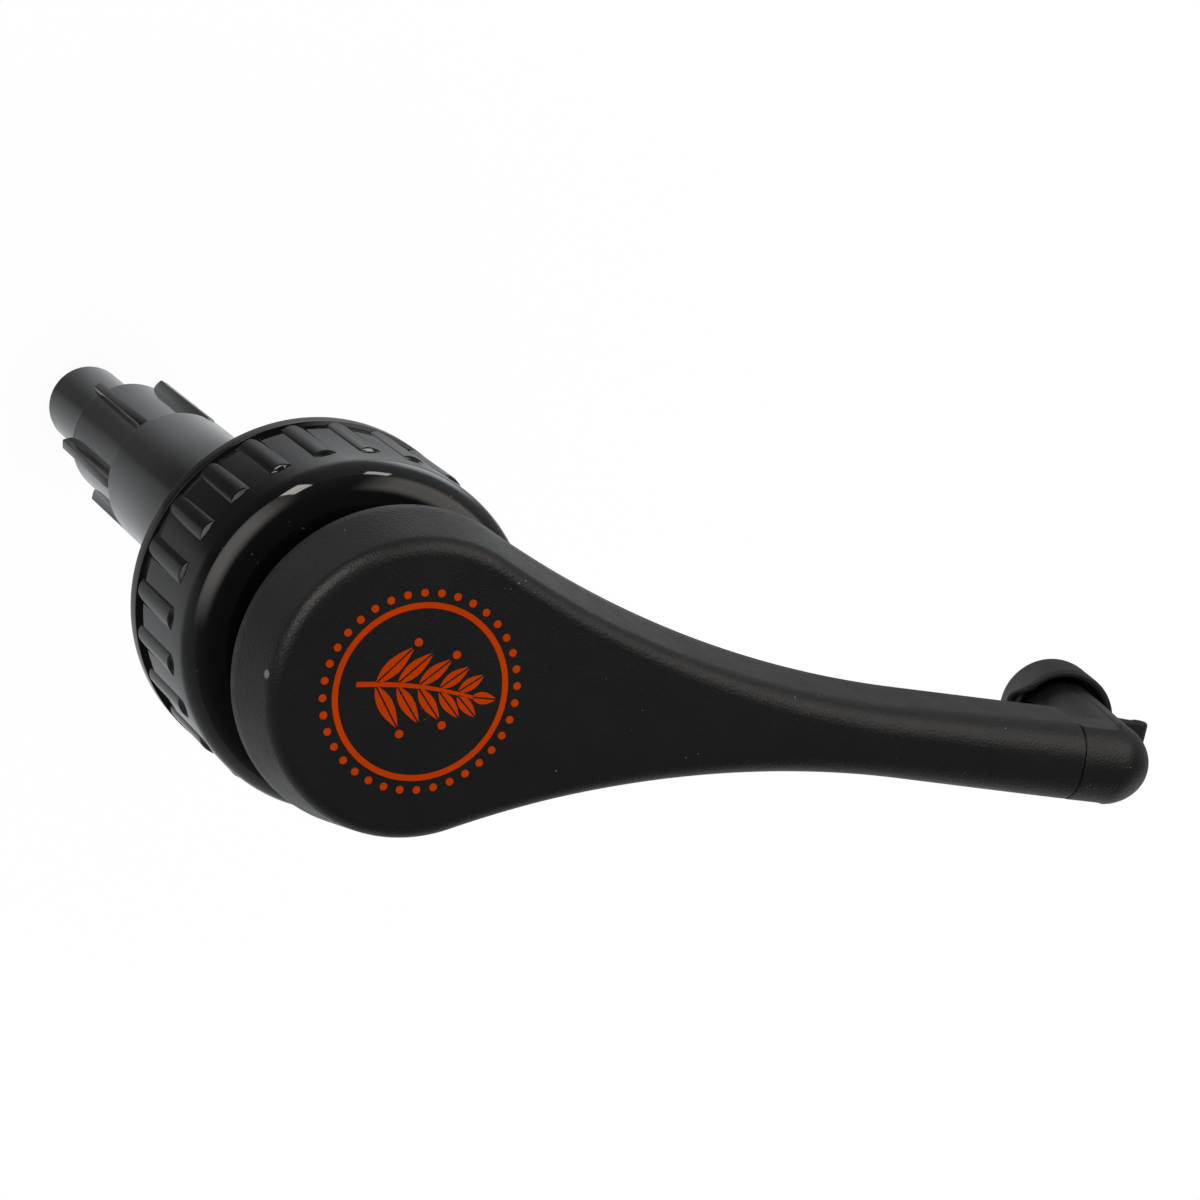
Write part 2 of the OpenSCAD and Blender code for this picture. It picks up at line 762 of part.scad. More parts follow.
module inlet_ball() {
    color("silver")
        translate([0, 0, inlet_ball_z])
            sphere(d = inlet_ball_d);
}

actuator_head();
nozzle_elbow();
nozzle_cap();
stem();
outlet_seat();
outlet_ball();
piston();
piston_retainer();
return_spring();
pump_housing();
stem_guide();
stem_seal();
bottle_gasket();
closure_collar();
ball_cage();
inlet_ball();
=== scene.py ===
import math

import bmesh
import bpy
import numpy as np
from mathutils import Matrix, Quaternion, Vector


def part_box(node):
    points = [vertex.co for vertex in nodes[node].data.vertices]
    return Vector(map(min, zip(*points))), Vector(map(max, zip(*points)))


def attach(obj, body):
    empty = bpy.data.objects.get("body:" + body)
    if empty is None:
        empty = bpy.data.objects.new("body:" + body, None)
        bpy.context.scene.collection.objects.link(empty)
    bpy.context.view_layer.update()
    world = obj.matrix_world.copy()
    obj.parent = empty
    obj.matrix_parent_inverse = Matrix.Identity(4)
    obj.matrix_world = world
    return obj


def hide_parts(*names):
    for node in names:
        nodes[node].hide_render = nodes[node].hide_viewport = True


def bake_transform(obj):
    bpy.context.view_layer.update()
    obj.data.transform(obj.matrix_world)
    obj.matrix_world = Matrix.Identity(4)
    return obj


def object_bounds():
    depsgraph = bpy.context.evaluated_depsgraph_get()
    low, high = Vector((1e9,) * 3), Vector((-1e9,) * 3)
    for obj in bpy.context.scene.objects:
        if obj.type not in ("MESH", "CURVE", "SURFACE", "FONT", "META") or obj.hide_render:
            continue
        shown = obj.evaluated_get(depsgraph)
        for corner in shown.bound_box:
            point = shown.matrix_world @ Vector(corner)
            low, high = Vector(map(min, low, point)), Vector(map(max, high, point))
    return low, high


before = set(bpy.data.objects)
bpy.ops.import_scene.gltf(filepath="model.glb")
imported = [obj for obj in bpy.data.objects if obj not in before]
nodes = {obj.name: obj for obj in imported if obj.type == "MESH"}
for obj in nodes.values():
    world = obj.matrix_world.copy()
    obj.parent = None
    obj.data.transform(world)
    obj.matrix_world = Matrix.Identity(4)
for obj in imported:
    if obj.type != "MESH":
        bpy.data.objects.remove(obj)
cad_lo, cad_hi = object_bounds()
scene = bpy.context.scene

# Sizes in millimetres, as in the part's source
MM = 0.001


# Highest or lowest level of a CAD node
def level(node, top):
    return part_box(node)[1 if top else 0].z / MM


# End of a CAD node along the arm
def reach(node):
    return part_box(node)[1].x / MM


# Head and arm
HEAD_TOP = level("actuator_head", True)
HEAD_Z = HEAD_TOP - 9.8
HEAD_R = 19.4
HEAD_DRAFT = math.radians(11.5)
HEAD_ROUND = 2.1
HEAD_WALL = 2.2
HEAD_CEILING = HEAD_TOP - 2.4
HEAD_FOOT_EASE = 0.3
ARM_LEN = reach("actuator_head")
ARM_R = 5.1
ARM_DRAFT = math.radians(2.5)
ARM_ROUND = 4.2
ARM_END_EASE = 0.22
FLANK_X = 64.0
HOLLOW_LEN = 48.0
CHANNEL_R = 2.6
CHANNEL_WALL = 1.6
CHANNEL_Z = HEAD_Z + 4.9
CHANNEL_X = (3.0, HOLLOW_LEN - 2)
CHANNEL_CORNER = 0.8
CEILING_SINK = 0.4
BOSS_R = 6.8
BOSS_Z = level("actuator_head", False)
BOSS_HOLE_R = 2.0
LUG_R = 8.4
LUG_Z = BOSS_Z + 0.2
LUG_H = 1.6
LUG_SPAN = 50.0
LUG_SINK = 0.3
STEM_R = 5.02
STEM_TOP = CHANNEL_Z - CHANNEL_R + 0.2

# Print and gate mark on the head; the gate's rings are pairs of radius and height over the wall
PRINT_T = 0.03
PRINT_DEPTH = 0.08
PRINT_RING = (9.8, 10.5)
BEAD_COUNT = 36
BEAD_RING_R = 11.6
BEAD_R = 0.46
BERRY_R = 0.50
LEAF_PLACES = (0.16, 0.34, 0.52, 0.70, 0.86)
LEAF_VEIN = 0.10
GATE_Z = HEAD_Z + 8.0
GATE_BEARING = math.radians(181.5)
GATE_RINGS = ((0.50, -0.25), (0.50, 0.02), (0.43, 0.06), (0.34, 0.01),
              (0.26, 0.03), (0.19, 0.12), (0.05, 0.09))

# Nozzle elbow; its leg is slimmer than the solid's by LEG_OUT and keeps the outer side
BEND_X = ARM_LEN + 5.7
ELBOW_R = 5.25
BEND_Z = HEAD_TOP - ELBOW_R
ELBOW_EASE = 0.3
ELBOW_CELL = 0.20
PARTING_GAP = 0.06
LEG_TILT = math.radians(12)
LEG_SHIFT = 0.6
LEG_R = 5.1
LEG_LEN = 25.3
LEG_OUT = 0.3
FLAT_Y = 4.70
FLAT_TOP = 2.6
FLAT_SIDE = 0.1
FLAT_FADE = 3.0
FLAT_STEP = 0.05
FLAT_EASE = 0.06
NOZZLE_BORE_R = 2.3
NOZZLE_BORE_EASE = 0.25

# Cap, measured along the leg
CAP_R = 6.55
CAP_RIM_R = 6.65
CAP_H = 7.2
CAP_WALL = 0.7
CAP_CORNER = 0.7
CAP_LIP = 0.9
CAP_LIP_H = 0.34
CAP_END = LEG_LEN + 0.3 + CAP_WALL
CAP_FLOOR = CAP_END - CAP_WALL
CAP_RIM = CAP_END - CAP_H
CAP_GRIP_R = LEG_R + 0.06
CAP_GRIP_Z = CAP_FLOOR - 4.0
CAP_GRIP_EASE = 0.3
CAP_MIDDLE_R = 0.02
CAP_DIP = 4.0
CAP_DIP_EDGE = np.radians(38)
CAP_DIP_RUN = np.radians(30)
TAB_R = 10.8
TAB_W = 3.0
TAB_T = 1.2
TAB_EASE = 0.4
TAB_BEAD = 2.0
TAB_BEAD_IN = 0.8
TAB_BEAD_EASE = 0.5
TAB_BLEND = 0.6
TAB_CELL = 0.13

# Collar
RIM_Z = level("closure_collar", False)
COLLAR_TOP = level("closure_collar", True)
RIM_R = 22.0
RIM_H = 2.8
COLLAR_R = 21.5
SHOULDER_R = 5.5
COLLAR_IN_TOP = COLLAR_TOP - 2.8
COLLAR_HOLE_R = 12.1
RIB_COUNT = 24
RIB_R = 2.5
RIB_PROUD = 0.42
RIB_LEN = 13.2
RIB_PHASE = 4.0
RIB_END_SHARE = 0.5
THREAD_CREST_R = 17.8
THREAD_ROOT_R = 19.0
THREAD_PITCH = 4.23
THREAD_TURNS = 2.0
THREAD_MOUTH_Z = -3 * THREAD_PITCH - 1.5
THREAD_HALF_W = 1.62
THREAD_FLANK = 0.55
THREAD_RUN_OUT = 0.06

# Housing
FLANGE_TOP = level("pump_housing", True)
SPIGOT_Z = level("pump_housing", False)
FLANGE_R = 17.2
GASKET_H = 1.5
BARREL_R = 9.5
BARREL_BORE_R = 7.9
BARREL_Z = -75.6
BARREL_MID_Z = -30
BARREL_ROUND = 0.9
BORE_Z = -74.0
LOWER_R = 8.2
LOWER_BORE_R = 6.6
LOWER_Z = -99.6
POCKET_Z = -97.6
BALL_ROOM_R = 4.1
INLET_SEAT_Z = -106.3
INLET_HOLE_R = 2.45
SPIGOT_R = 5.7
DIP_BORE_R = 4.1
DIP_BORE_Z = SPIGOT_Z + 13
FIN_COUNT = 6
FIN_R = 9.65
FIN_T = 1.5
FIN_LEN = 23.6
FIN_PHASE = 10.0
FIN_SINK = 0.9
FIN_TAPER = 0.14
FIN_TOP_Z = BARREL_Z + 1.4
FIN_END_Z = BARREL_Z - FIN_LEN

# Return spring
SPRING_R = 5.2
WIRE_R = 0.5
COILS = 11
COIL_STEPS = 36
WIRE_SIDES = 10

# Sizes of the patterns in all plastics, and the colour of dust
MOTTLE_SIZE = 9
GLOSS_PATCH_SIZE = 4
RIPPLE_SIZE = 14
SPECK_SIZE = 0.36
SPECK_PATCH_SIZE = 5
DUST_COLOUR = (0.4, 0.39, 0.37, 1)


# Node that maps a range of a value to another range
def map_range(tree, value, low, high, to_low, to_high):
    node = tree.nodes.new("ShaderNodeMapRange")
    for key, number in zip(("From Min", "From Max", "To Min", "To Max"), (low, high, to_low, to_high)):
        node.inputs[key].default_value = number
    tree.links.new(value, node.inputs["Value"])
    return node


# Sum, product or other operation on values and plain numbers
def calculate(tree, operation, *values):
    node = tree.nodes.new("ShaderNodeMath")
    node.operation = operation
    for entry, value in zip(node.inputs, values):
        if isinstance(value, float):
            entry.default_value = value
        else:
            tree.links.new(value, entry)
    return node.outputs["Value"]


# Moulded plastic: mottled colour, uneven gloss, a fine moulded grain and a slow flow ripple
def plastic(name, dark, light, rough, rough_var, grain, grain_size, ripple, ior, dust=0.0):
    material = bpy.data.materials.new(name)
    material.use_nodes = True
    tree = material.node_tree
    shader = tree.nodes["Principled BSDF"]
    shader.inputs["IOR"].default_value = ior
    place = tree.nodes.new("ShaderNodeTexCoord")

    def noise(size, detail, roughness=0.5):
        node = tree.nodes.new("ShaderNodeTexNoise")
        node.inputs["Scale"].default_value = 1 / (size * MM)
        node.inputs["Detail"].default_value = detail
        node.inputs["Roughness"].default_value = roughness
        tree.links.new(place.outputs["Object"], node.inputs["Vector"])
        return node.outputs["Fac"]

    def bump(height, depth):
        node = tree.nodes.new("ShaderNodeBump")
        node.inputs["Strength"].default_value = 1
        node.inputs["Distance"].default_value = depth * MM
        tree.links.new(height, node.inputs["Height"])
        return node

    ramp = tree.nodes.new("ShaderNodeValToRGB")
    for element, position, colour in zip(ramp.color_ramp.elements, (0.3, 0.7), (dark, light)):
        element.position = position
        element.color = (*colour, 1)
    tree.links.new(noise(MOTTLE_SIZE, 4), ramp.inputs["Fac"])
    if dust:
        specks = map_range(tree, noise(SPECK_SIZE, 0), 0.82, 0.85, 0, dust)
        patches = map_range(tree, noise(SPECK_PATCH_SIZE, 0), 0.60, 0.66, 0, 1)
        mask = calculate(tree, "MULTIPLY", specks.outputs["Result"], patches.outputs["Result"])
        mix = tree.nodes.new("ShaderNodeMix")
        mix.data_type = "RGBA"
        tree.links.new(mask, mix.inputs["Factor"])
        tree.links.new(ramp.outputs["Color"], mix.inputs["A"])
        mix.inputs["B"].default_value = DUST_COLOUR
        tree.links.new(mix.outputs["Result"], shader.inputs["Base Color"])
    else:
        tree.links.new(ramp.outputs["Color"], shader.inputs["Base Color"])
    patchy = noise(GLOSS_PATCH_SIZE, 5, 0.6)
    uneven = map_range(tree, patchy, 0.3, 0.7, rough - rough_var, rough + rough_var)
    tree.links.new(uneven.outputs["Result"], shader.inputs["Roughness"])
    fine = bump(noise(grain_size, 2), grain)
    slow = bump(noise(RIPPLE_SIZE, 1), ripple)
    tree.links.new(slow.outputs["Normal"], fine.inputs["Normal"])
    tree.links.new(fine.outputs["Normal"], shader.inputs["Normal"])
    return material


def set_on(material, **values):
    shader = material.node_tree.nodes["Principled BSDF"]
    for key, value in values.items():
        shader.inputs[key.replace("_", " ")].default_value = value


satin_black = plastic("satin_black", (0.0080, 0.0080, 0.0083), (0.0098, 0.0098, 0.0100),
                      rough=0.33, rough_var=0.05, grain=0.072, grain_size=0.30, ripple=0.02,
                      ior=1.46, dust=0.4)
gloss_black = plastic("gloss_black", (0.0022, 0.0023, 0.0027), (0.0034, 0.0035, 0.0039),
                      rough=0.05, rough_var=0.02, grain=0.0012, grain_size=0.6, ripple=0.03,
                      ior=1.46, dust=0.3)
barrel_black = plastic("barrel_black", (0.0022, 0.0023, 0.0026), (0.0034, 0.0034, 0.0037),
                       rough=0.11, rough_var=0.03, grain=0.0020, grain_size=0.5, ripple=0.05, ior=1.46)
soft_black = plastic("soft_black", (0.0100, 0.0100, 0.0104), (0.0130, 0.0130, 0.0134),
                     rough=0.48, rough_var=0.05, grain=0.020, grain_size=0.25, ripple=0.03, ior=1.46)
natural = plastic("natural_plastic", (0.66, 0.66, 0.63), (0.74, 0.74, 0.71),
                  rough=0.34, rough_var=0.05, grain=0.004, grain_size=0.4, ripple=0.03, ior=1.5)
set_on(natural, Subsurface_Weight=0.25, Subsurface_Scale=0.0015)
seal_rubber = plastic("seal_rubber", (0.020, 0.020, 0.021), (0.030, 0.030, 0.031),
                      rough=0.62, rough_var=0.06, grain=0.010, grain_size=0.3, ripple=0.02, ior=1.45)
gasket_foam = plastic("gasket_foam", (0.58, 0.57, 0.54), (0.68, 0.67, 0.64),
                      rough=0.72, rough_var=0.05, grain=0.030, grain_size=0.35, ripple=0.04, ior=1.4)
steel = plastic("steel", (0.54, 0.54, 0.55), (0.62, 0.62, 0.63),
                rough=0.24, rough_var=0.06, grain=0.003, grain_size=0.25, ripple=0.01, ior=1.5)
set_on(steel, Metallic=1.0)
print_ink = plastic("print_ink", (0.400, 0.034, 0.0004), (0.440, 0.039, 0.0005),
                    rough=0.80, rough_var=0.06, grain=0.006, grain_size=0.2, ripple=0.01, ior=1.06)
whitened = plastic("whitened_plastic", (0.006, 0.006, 0.006), (0.22, 0.22, 0.22),
                   rough=0.25, rough_var=0.1, grain=0.09, grain_size=0.16, ripple=0.01, ior=1.5)

WELD = 1e-4


# Piece from points in millimetres, with edges sharper than an angle in degrees kept crisp
def piece(name, points, faces, material, body, stands_for=(), sharp=38):
    mesh = bpy.data.meshes.new(name)
    mesh.from_pydata([tuple(float(c) * MM for c in p) for p in points], [], [tuple(f) for f in faces])
    grid = bmesh.new()
    grid.from_mesh(mesh)
    bmesh.ops.remove_doubles(grid, verts=grid.verts, dist=WELD * MM)
    bmesh.ops.recalc_face_normals(grid, faces=grid.faces)
    grid.to_mesh(mesh)
    grid.free()
    mesh.shade_smooth()
    mesh.set_sharp_from_angle(angle=math.radians(sharp))
    mesh.materials.append(material)
    obj = bpy.data.objects.new(name, mesh)
    scene.collection.objects.link(obj)
    if body:
        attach(obj, body)
    if stands_for:
        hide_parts(*stands_for)
    return obj


# Several closed shells gathered into one mesh
class Shells:
    def __init__(self):
        self.points = []
        self.faces = []

    def add(self, points, faces):
        base = len(self.points)
        self.points += [tuple(p) for p in points]
        self.faces += [tuple(i + base for i in f) for f in faces]


# Path with its corners rounded: each point is (x, y) or (x, y, radius)
def rounded(path, steps, closed=True):
    out = []
    n = len(path)
    for i, point in enumerate(path):
        p = np.array(point[:2], float)
        radius = point[2] if len(point) > 2 else 0
        if radius <= 0 or (not closed and i in (0, n - 1)):
            out.append(p)
            continue
        a = np.array(path[i - 1][:2], float) - p
        b = np.array(path[(i + 1) % n][:2], float) - p
        ua, ub = a / np.linalg.norm(a), b / np.linalg.norm(b)
        half = math.acos(max(-1, min(1, float(ua @ ub)))) / 2
        back = radius / math.tan(half)
        mid = (ua + ub) / np.linalg.norm(ua + ub)
        centre = p + mid * radius / math.sin(half)
        start, end = p + ua * back - centre, p + ub * back - centre
        turn = math.atan2(start[0] * end[1] - start[1] * end[0], float(start @ end))
        for k in range(steps + 1):
            t = turn * k / steps
            c, s = math.cos(t), math.sin(t)
            out.append(centre + np.array([c * start[0] - s * start[1], s * start[0] + c * start[1]]))
    return np.array(out)


# Grid of points rows x columns joined into quads, wrapped round its columns and, if closed, its rows
def grid_faces(rows, columns, closed):
    faces = []
    for i in range(rows if closed else rows - 1):
        for j in range(columns):
            k, m = (i + 1) % rows, (j + 1) % columns
            faces.append((i * columns + j, i * columns + m, k * columns + m, k * columns + j))
    return faces


# Solid of revolution about Z from a closed profile of (radius, z)
def revolve(profile, columns):
    angles = np.arange(columns) * 2 * math.pi / columns
    points = [(r * math.cos(a), r * math.sin(a), z) for r, z in profile for a in angles]
    return points, grid_faces(len(profile), columns, True)


# Closed shell from rings of equal length, with its first and last ring filled
def rings_shell(rings):
    columns = len(rings[0])
    points = [tuple(p) for ring in rings for p in ring]
    faces = grid_faces(len(rings), columns, False)
    faces.append(tuple(range(columns)))
    faces.append(tuple(range((len(rings) - 1) * columns, len(rings) * columns)))
    return points, faces


# Prism of a flat outline between two levels
def prism(outline, z0, z1):
    return rings_shell([[(x, y, z0) for x, y in outline], [(x, y, z1) for x, y in outline]])


# Half of the head's plan on +Y, as points with outward directions: a round head, a hollow flank and a
# straight neck
def half_plan(r, w, x0, x1, steps=56, neck_steps=12):
    flank = (x0 * x0 + w * w - r * r) / (2 * r - 2 * w)
    turn = math.atan2(w + flank, x0)
    half = []
    for i in range(steps + 1):
        a = math.pi + (turn - math.pi) * i / steps
        half.append((r * math.cos(a), r * math.sin(a), math.cos(a), math.sin(a)))
    for i in range(1, steps + 1):
        a = turn + (math.pi / 2 - turn) * i / steps
        half.append((x0 - flank * math.cos(a), w + flank - flank * math.sin(a), math.cos(a), math.sin(a)))
    for i in range(1, neck_steps + 1):
        half.append((x0 + (x1 - x0) * i / neck_steps, w, 0.0, 1.0))
    return half


# Half outline of points joined to its mirror image on -Y
def whole(half):
    return half + [(q[0], -q[1], *q[2:]) for q in half[:0:-1]]


# Lean of the wall and radius of the top edge change evenly from the round head to the arm's end
def along_arm(x, at_head, at_end):
    t = min(1, max(0, (x - HEAD_R) / (ARM_LEN - HEAD_R)))
    return at_head + (at_end - at_head) * t


# Flat face inside a ring of points, as strips between each point on +Y and its mirror point
def cross_strips(start, count, facing_down):
    strips = []
    for i in range(count // 2 + 1):
        a, b = i, (count - i) % count
        c, d = i + 1, count - i - 1
        if c >= d:
            continue
        if facing_down:
            corners = (a, b, d, c) if a != b else (a, d, c)
        else:
            corners = (a, c, d, b) if a != b else (a, c, d)
        strips.append(tuple(start + corner for corner in corners))
    return strips


# Head and arm: outer skin with an eased lower edge, a hollow underside and an eased arm end
def build_head():
    shells = Shells()
    ease = HEAD_FOOT_EASE
    skin_top = HEAD_TOP - PRINT_T
    half = half_plan(HEAD_R, ARM_R, FLANK_X, ARM_LEN - ARM_END_EASE)
    foot_steps, wall_steps, edge_steps = 3, 6, 14
    sections = [("foot", k / foot_steps) for k in range(foot_steps + 1)]
    sections += [("wall", k / wall_steps) for k in range(1, wall_steps)]
    sections += [("edge", k / edge_steps) for k in range(edge_steps + 1)]

    # Inset, level and tilt of the skin at x in one section
    def skin(x, kind, share):
        lean = along_arm(x, HEAD_DRAFT, ARM_DRAFT)
        round_r = along_arm(x, HEAD_ROUND, ARM_ROUND)
        wall_top = skin_top - round_r * (1 - math.sin(lean))
        if kind == "foot":
            tilt = math.radians(90 * share - 90)
            return ease * (1 - math.cos(tilt)), HEAD_Z + ease * (1 + math.sin(tilt)), tilt
        if kind == "wall":
            z = HEAD_Z + ease + (wall_top - HEAD_Z - ease) * share
            return (z - HEAD_Z - ease) * math.tan(lean), z, lean
        tilt = lean + (math.pi / 2 - lean) * share
        axis = (wall_top - HEAD_Z - ease) * math.tan(lean) + round_r * math.cos(lean)
        return axis - round_r * math.cos(tilt), skin_top - round_r * (1 - math.sin(tilt)), tilt

    rings = []
    ends = []
    for kind, share in sections:
        ring = []
        for x, y, nx, ny in half:
            inset, z, tilt = skin(x, kind, share)
            ring.append((x - inset * nx, y - inset * ny, z))
        rings.append(whole(ring))
        end_y, end_z = ring[-1][1:]
        ends.append((end_y - ARM_END_EASE * math.cos(tilt), end_z - ARM_END_EASE * math.sin(tilt)))
    count = len(rings[0])
    points = [p for ring in rings for p in ring]
    last = count // 2
    faces = []
    for i in range(len(rings) - 1):
        for j in range(count):
            if j == last:
                continue
            m = (j + 1) % count
            faces.append((i * count + j, i * count + m, (i + 1) * count + m, (i + 1) * count + j))
    # The arm's end, eased all round
    base = len(points)
    for y, z in ends:
        points += [(ARM_LEN, y, z), (ARM_LEN, -y, z)]
    for i in range(len(rings) - 1):
        left, right = i * count + last, i * count + last + 1
        a, b = base + 2 * i, base + 2 * i + 1
        faces.append((left, a, a + 2, left + count))
        faces.append((right, right + count, b + 2, b))
        faces.append((a, b, b + 2, a + 2))
    top = (len(rings) - 1) * count
    end_top = base + 2 * (len(rings) - 1)
    faces.append((top + last, end_top, end_top + 1, top + last + 1))
    faces.append((last, last + 1, base + 1, base))
    faces += cross_strips(top, count, False)
    # Underside: the rim, the hollow's wall and its ceiling, with eased corners
    inner_r = HEAD_R - (HEAD_CEILING - HEAD_Z) * math.tan(HEAD_DRAFT) - HEAD_WALL
    inner = []
    for grow, z in ((0.25, HEAD_Z), (0.07, HEAD_Z + 0.07), (0, HEAD_Z + 0.25), (0, HEAD_CEILING - 0.5),
                    (-0.15, HEAD_CEILING - 0.15), (-0.5, HEAD_CEILING)):
        plan = whole(half_plan(inner_r + grow, CHANNEL_R + grow, HOLLOW_LEN, HOLLOW_LEN + 0.2 + grow))
        inner.append(len(points))
        points += [(q[0], q[1], z) for q in plan]
    for j in range(count):
        m = (j + 1) % count
        faces.append((j, inner[0] + j, inner[0] + m, m))
        for lower, upper in zip(inner, inner[1:]):
            faces.append((lower + j, upper + j, upper + m, lower + m))
    faces += cross_strips(inner[-1], count, True)
    shells.add(points, faces)
    # Wall of the flow channel under the hollow's ceiling
    wall = CHANNEL_R + CHANNEL_WALL
    sunk = HEAD_CEILING + CEILING_SINK
    section = rounded([(-wall, sunk), (-wall, CHANNEL_Z - wall, CHANNEL_CORNER),
                       (wall, CHANNEL_Z - wall, CHANNEL_CORNER), (wall, sunk)], 6)
    shells.add(*rings_shell([[(x, y, z) for y, z in section] for x in CHANNEL_X]))
    # Boss with its stem socket, and the two lock lugs
    boss = rounded([(STEM_R, BOSS_Z, 0.2), (BOSS_R, BOSS_Z, 0.3), (BOSS_R, sunk),
                    (BOSS_HOLE_R, sunk), (BOSS_HOLE_R, STEM_TOP), (STEM_R, STEM_TOP)], 4)
    shells.add(*revolve(boss, 96))
    lug_steps = 12
    lug_in = BOSS_R - LUG_SINK
    for centre in (0.0, 180.0):
        outline = []
        for k in range(lug_steps + 1):
            a = math.radians(centre - LUG_SPAN / 2 + LUG_SPAN * k / lug_steps)
            outline.append((LUG_R * math.cos(a), LUG_R * math.sin(a)))
        for k in range(lug_steps + 1):
            a = math.radians(centre + LUG_SPAN / 2 - LUG_SPAN * k / lug_steps)
            outline.append((lug_in * math.cos(a), lug_in * math.sin(a)))
        shells.add(*prism(outline, LUG_Z, LUG_Z + LUG_H))
    return piece("head_moulding", shells.points, shells.faces, satin_black, "head",
                 ["actuator_head"], sharp=40)


head_moulding = build_head()


# Collar: one skin whose rows run from the hole over the shoulder, down the ribbed wall and up the
# threaded bore
def build_collar():
    half_rib = math.degrees(math.sqrt(RIB_R ** 2 - (RIB_R - RIB_PROUD) ** 2) / COLLAR_R)
    rib_step = 360 / RIB_COUNT
    columns = []
    for i in range(RIB_COUNT):
        centre = RIB_PHASE + 360 * i / RIB_COUNT
        inside = [half_rib * math.sin(math.radians(-90 + 180 * k / 10)) for k in range(11)]
        gap = rib_step - 2 * half_rib
        outside = [half_rib + gap * f for f in (0.12, 0.3, 0.5, 0.7, 0.88)]
        columns += [centre + a for a in inside + outside]
    angles = np.radians(np.array(columns))
    off = (np.array(columns) - RIB_PHASE + rib_step / 2) % rib_step - rib_step / 2
    off = np.radians(off)
    rib_axis = COLLAR_R + RIB_PROUD - RIB_R
    under = np.clip(RIB_R ** 2 - (rib_axis * np.sin(off)) ** 2, 0, None)
    ribbed = np.maximum(np.full(len(off), COLLAR_R), rib_axis * np.cos(off) + np.sqrt(under))
    ribbed[np.abs(off) > math.radians(half_rib)] = COLLAR_R
    flat = np.ones(len(off))
    rows = []

    def row(radius, z):
        rows.append((flat * radius, flat * z))

    rib_z = RIM_Z + RIM_H
    rib_end = rib_z + RIB_LEN
    for r, z in rounded([(COLLAR_HOLE_R, COLLAR_IN_TOP), (COLLAR_HOLE_R, COLLAR_TOP, 0.4),
                         (COLLAR_R, COLLAR_TOP, SHOULDER_R), (COLLAR_R, rib_end + 0.4)], 20, False):
        row(r, z)
    # Each rib's upper end is a slope of 45 degrees with a rounded edge
    row(COLLAR_R, rib_end + 0.06)
    proud = np.clip(ribbed - COLLAR_R, 0, None)
    for turn in (90, 72, 54, 36, 18, 0):
        c, d = math.cos(math.radians(turn)), math.sin(math.radians(turn))
        out = proud * (1 - RIB_END_SHARE + RIB_END_SHARE * c)
        z = rib_end - RIB_END_SHARE * proud * (1 - d) - out - 0.02 * (90 - turn) / 90
        rows.append((COLLAR_R + out, z))
    for k in range(8):
        z = rib_end - 0.75 - (RIB_LEN - 1.05) * k / 7
        rows.append((ribbed, flat * z))
    # Foot of the ribs, a fine groove and the rim
    rows.append((ribbed, flat * (rib_z + 0.14)))
    rows.append((np.minimum(ribbed, COLLAR_R + 0.12), flat * (rib_z + 0.12)))
    row(COLLAR_R - 0.05, rib_z + 0.09)
    row(COLLAR_R - 0.05, rib_z + 0.02)
    row(COLLAR_R + 0.03, rib_z + 0.02)
    for r, z in rounded([(COLLAR_R + 0.05, rib_z), (RIM_R, rib_z - 0.24, 0.12), (RIM_R, RIM_Z, 0.45),
                         (THREAD_ROOT_R, RIM_Z, 0.6), (THREAD_ROOT_R, THREAD_MOUTH_Z - 0.4)], 6, False):
        row(r, z)
    # Bore with its helical groove, which starts and ends in a short run-out
    groove_z = THREAD_MOUTH_Z + THREAD_PITCH / 2
    turn = np.mod(angles, 2 * math.pi) / (2 * math.pi)
    for z in np.linspace(THREAD_MOUTH_Z, COLLAR_IN_TOP - 0.3, 72):
        best = np.zeros(len(angles))
        for lap in range(-1, int(THREAD_TURNS) + 2):
            along = turn + lap
            axis = groove_z + along * THREAD_PITCH
            near = np.clip((THREAD_HALF_W - np.abs(z - axis)) / THREAD_FLANK, 0, 1)
            inside = np.clip(np.minimum(along, THREAD_TURNS - along) / THREAD_RUN_OUT + 0.5, 0, 1)
            best = np.maximum(best, near * inside)
        rows.append((THREAD_CREST_R + (THREAD_ROOT_R - THREAD_CREST_R) * best, flat * z))
    row(THREAD_CREST_R, COLLAR_IN_TOP - 0.15)
    row(THREAD_CREST_R - 0.2, COLLAR_IN_TOP)
    points = []
    for radius, z in rows:
        points += list(zip(radius * np.cos(angles), radius * np.sin(angles), z))
    faces = grid_faces(len(rows), len(angles), True)
    return piece("collar_moulding", points, faces, gloss_black, "collar",
                 ["closure_collar"], sharp=34)


collar_moulding = build_collar()


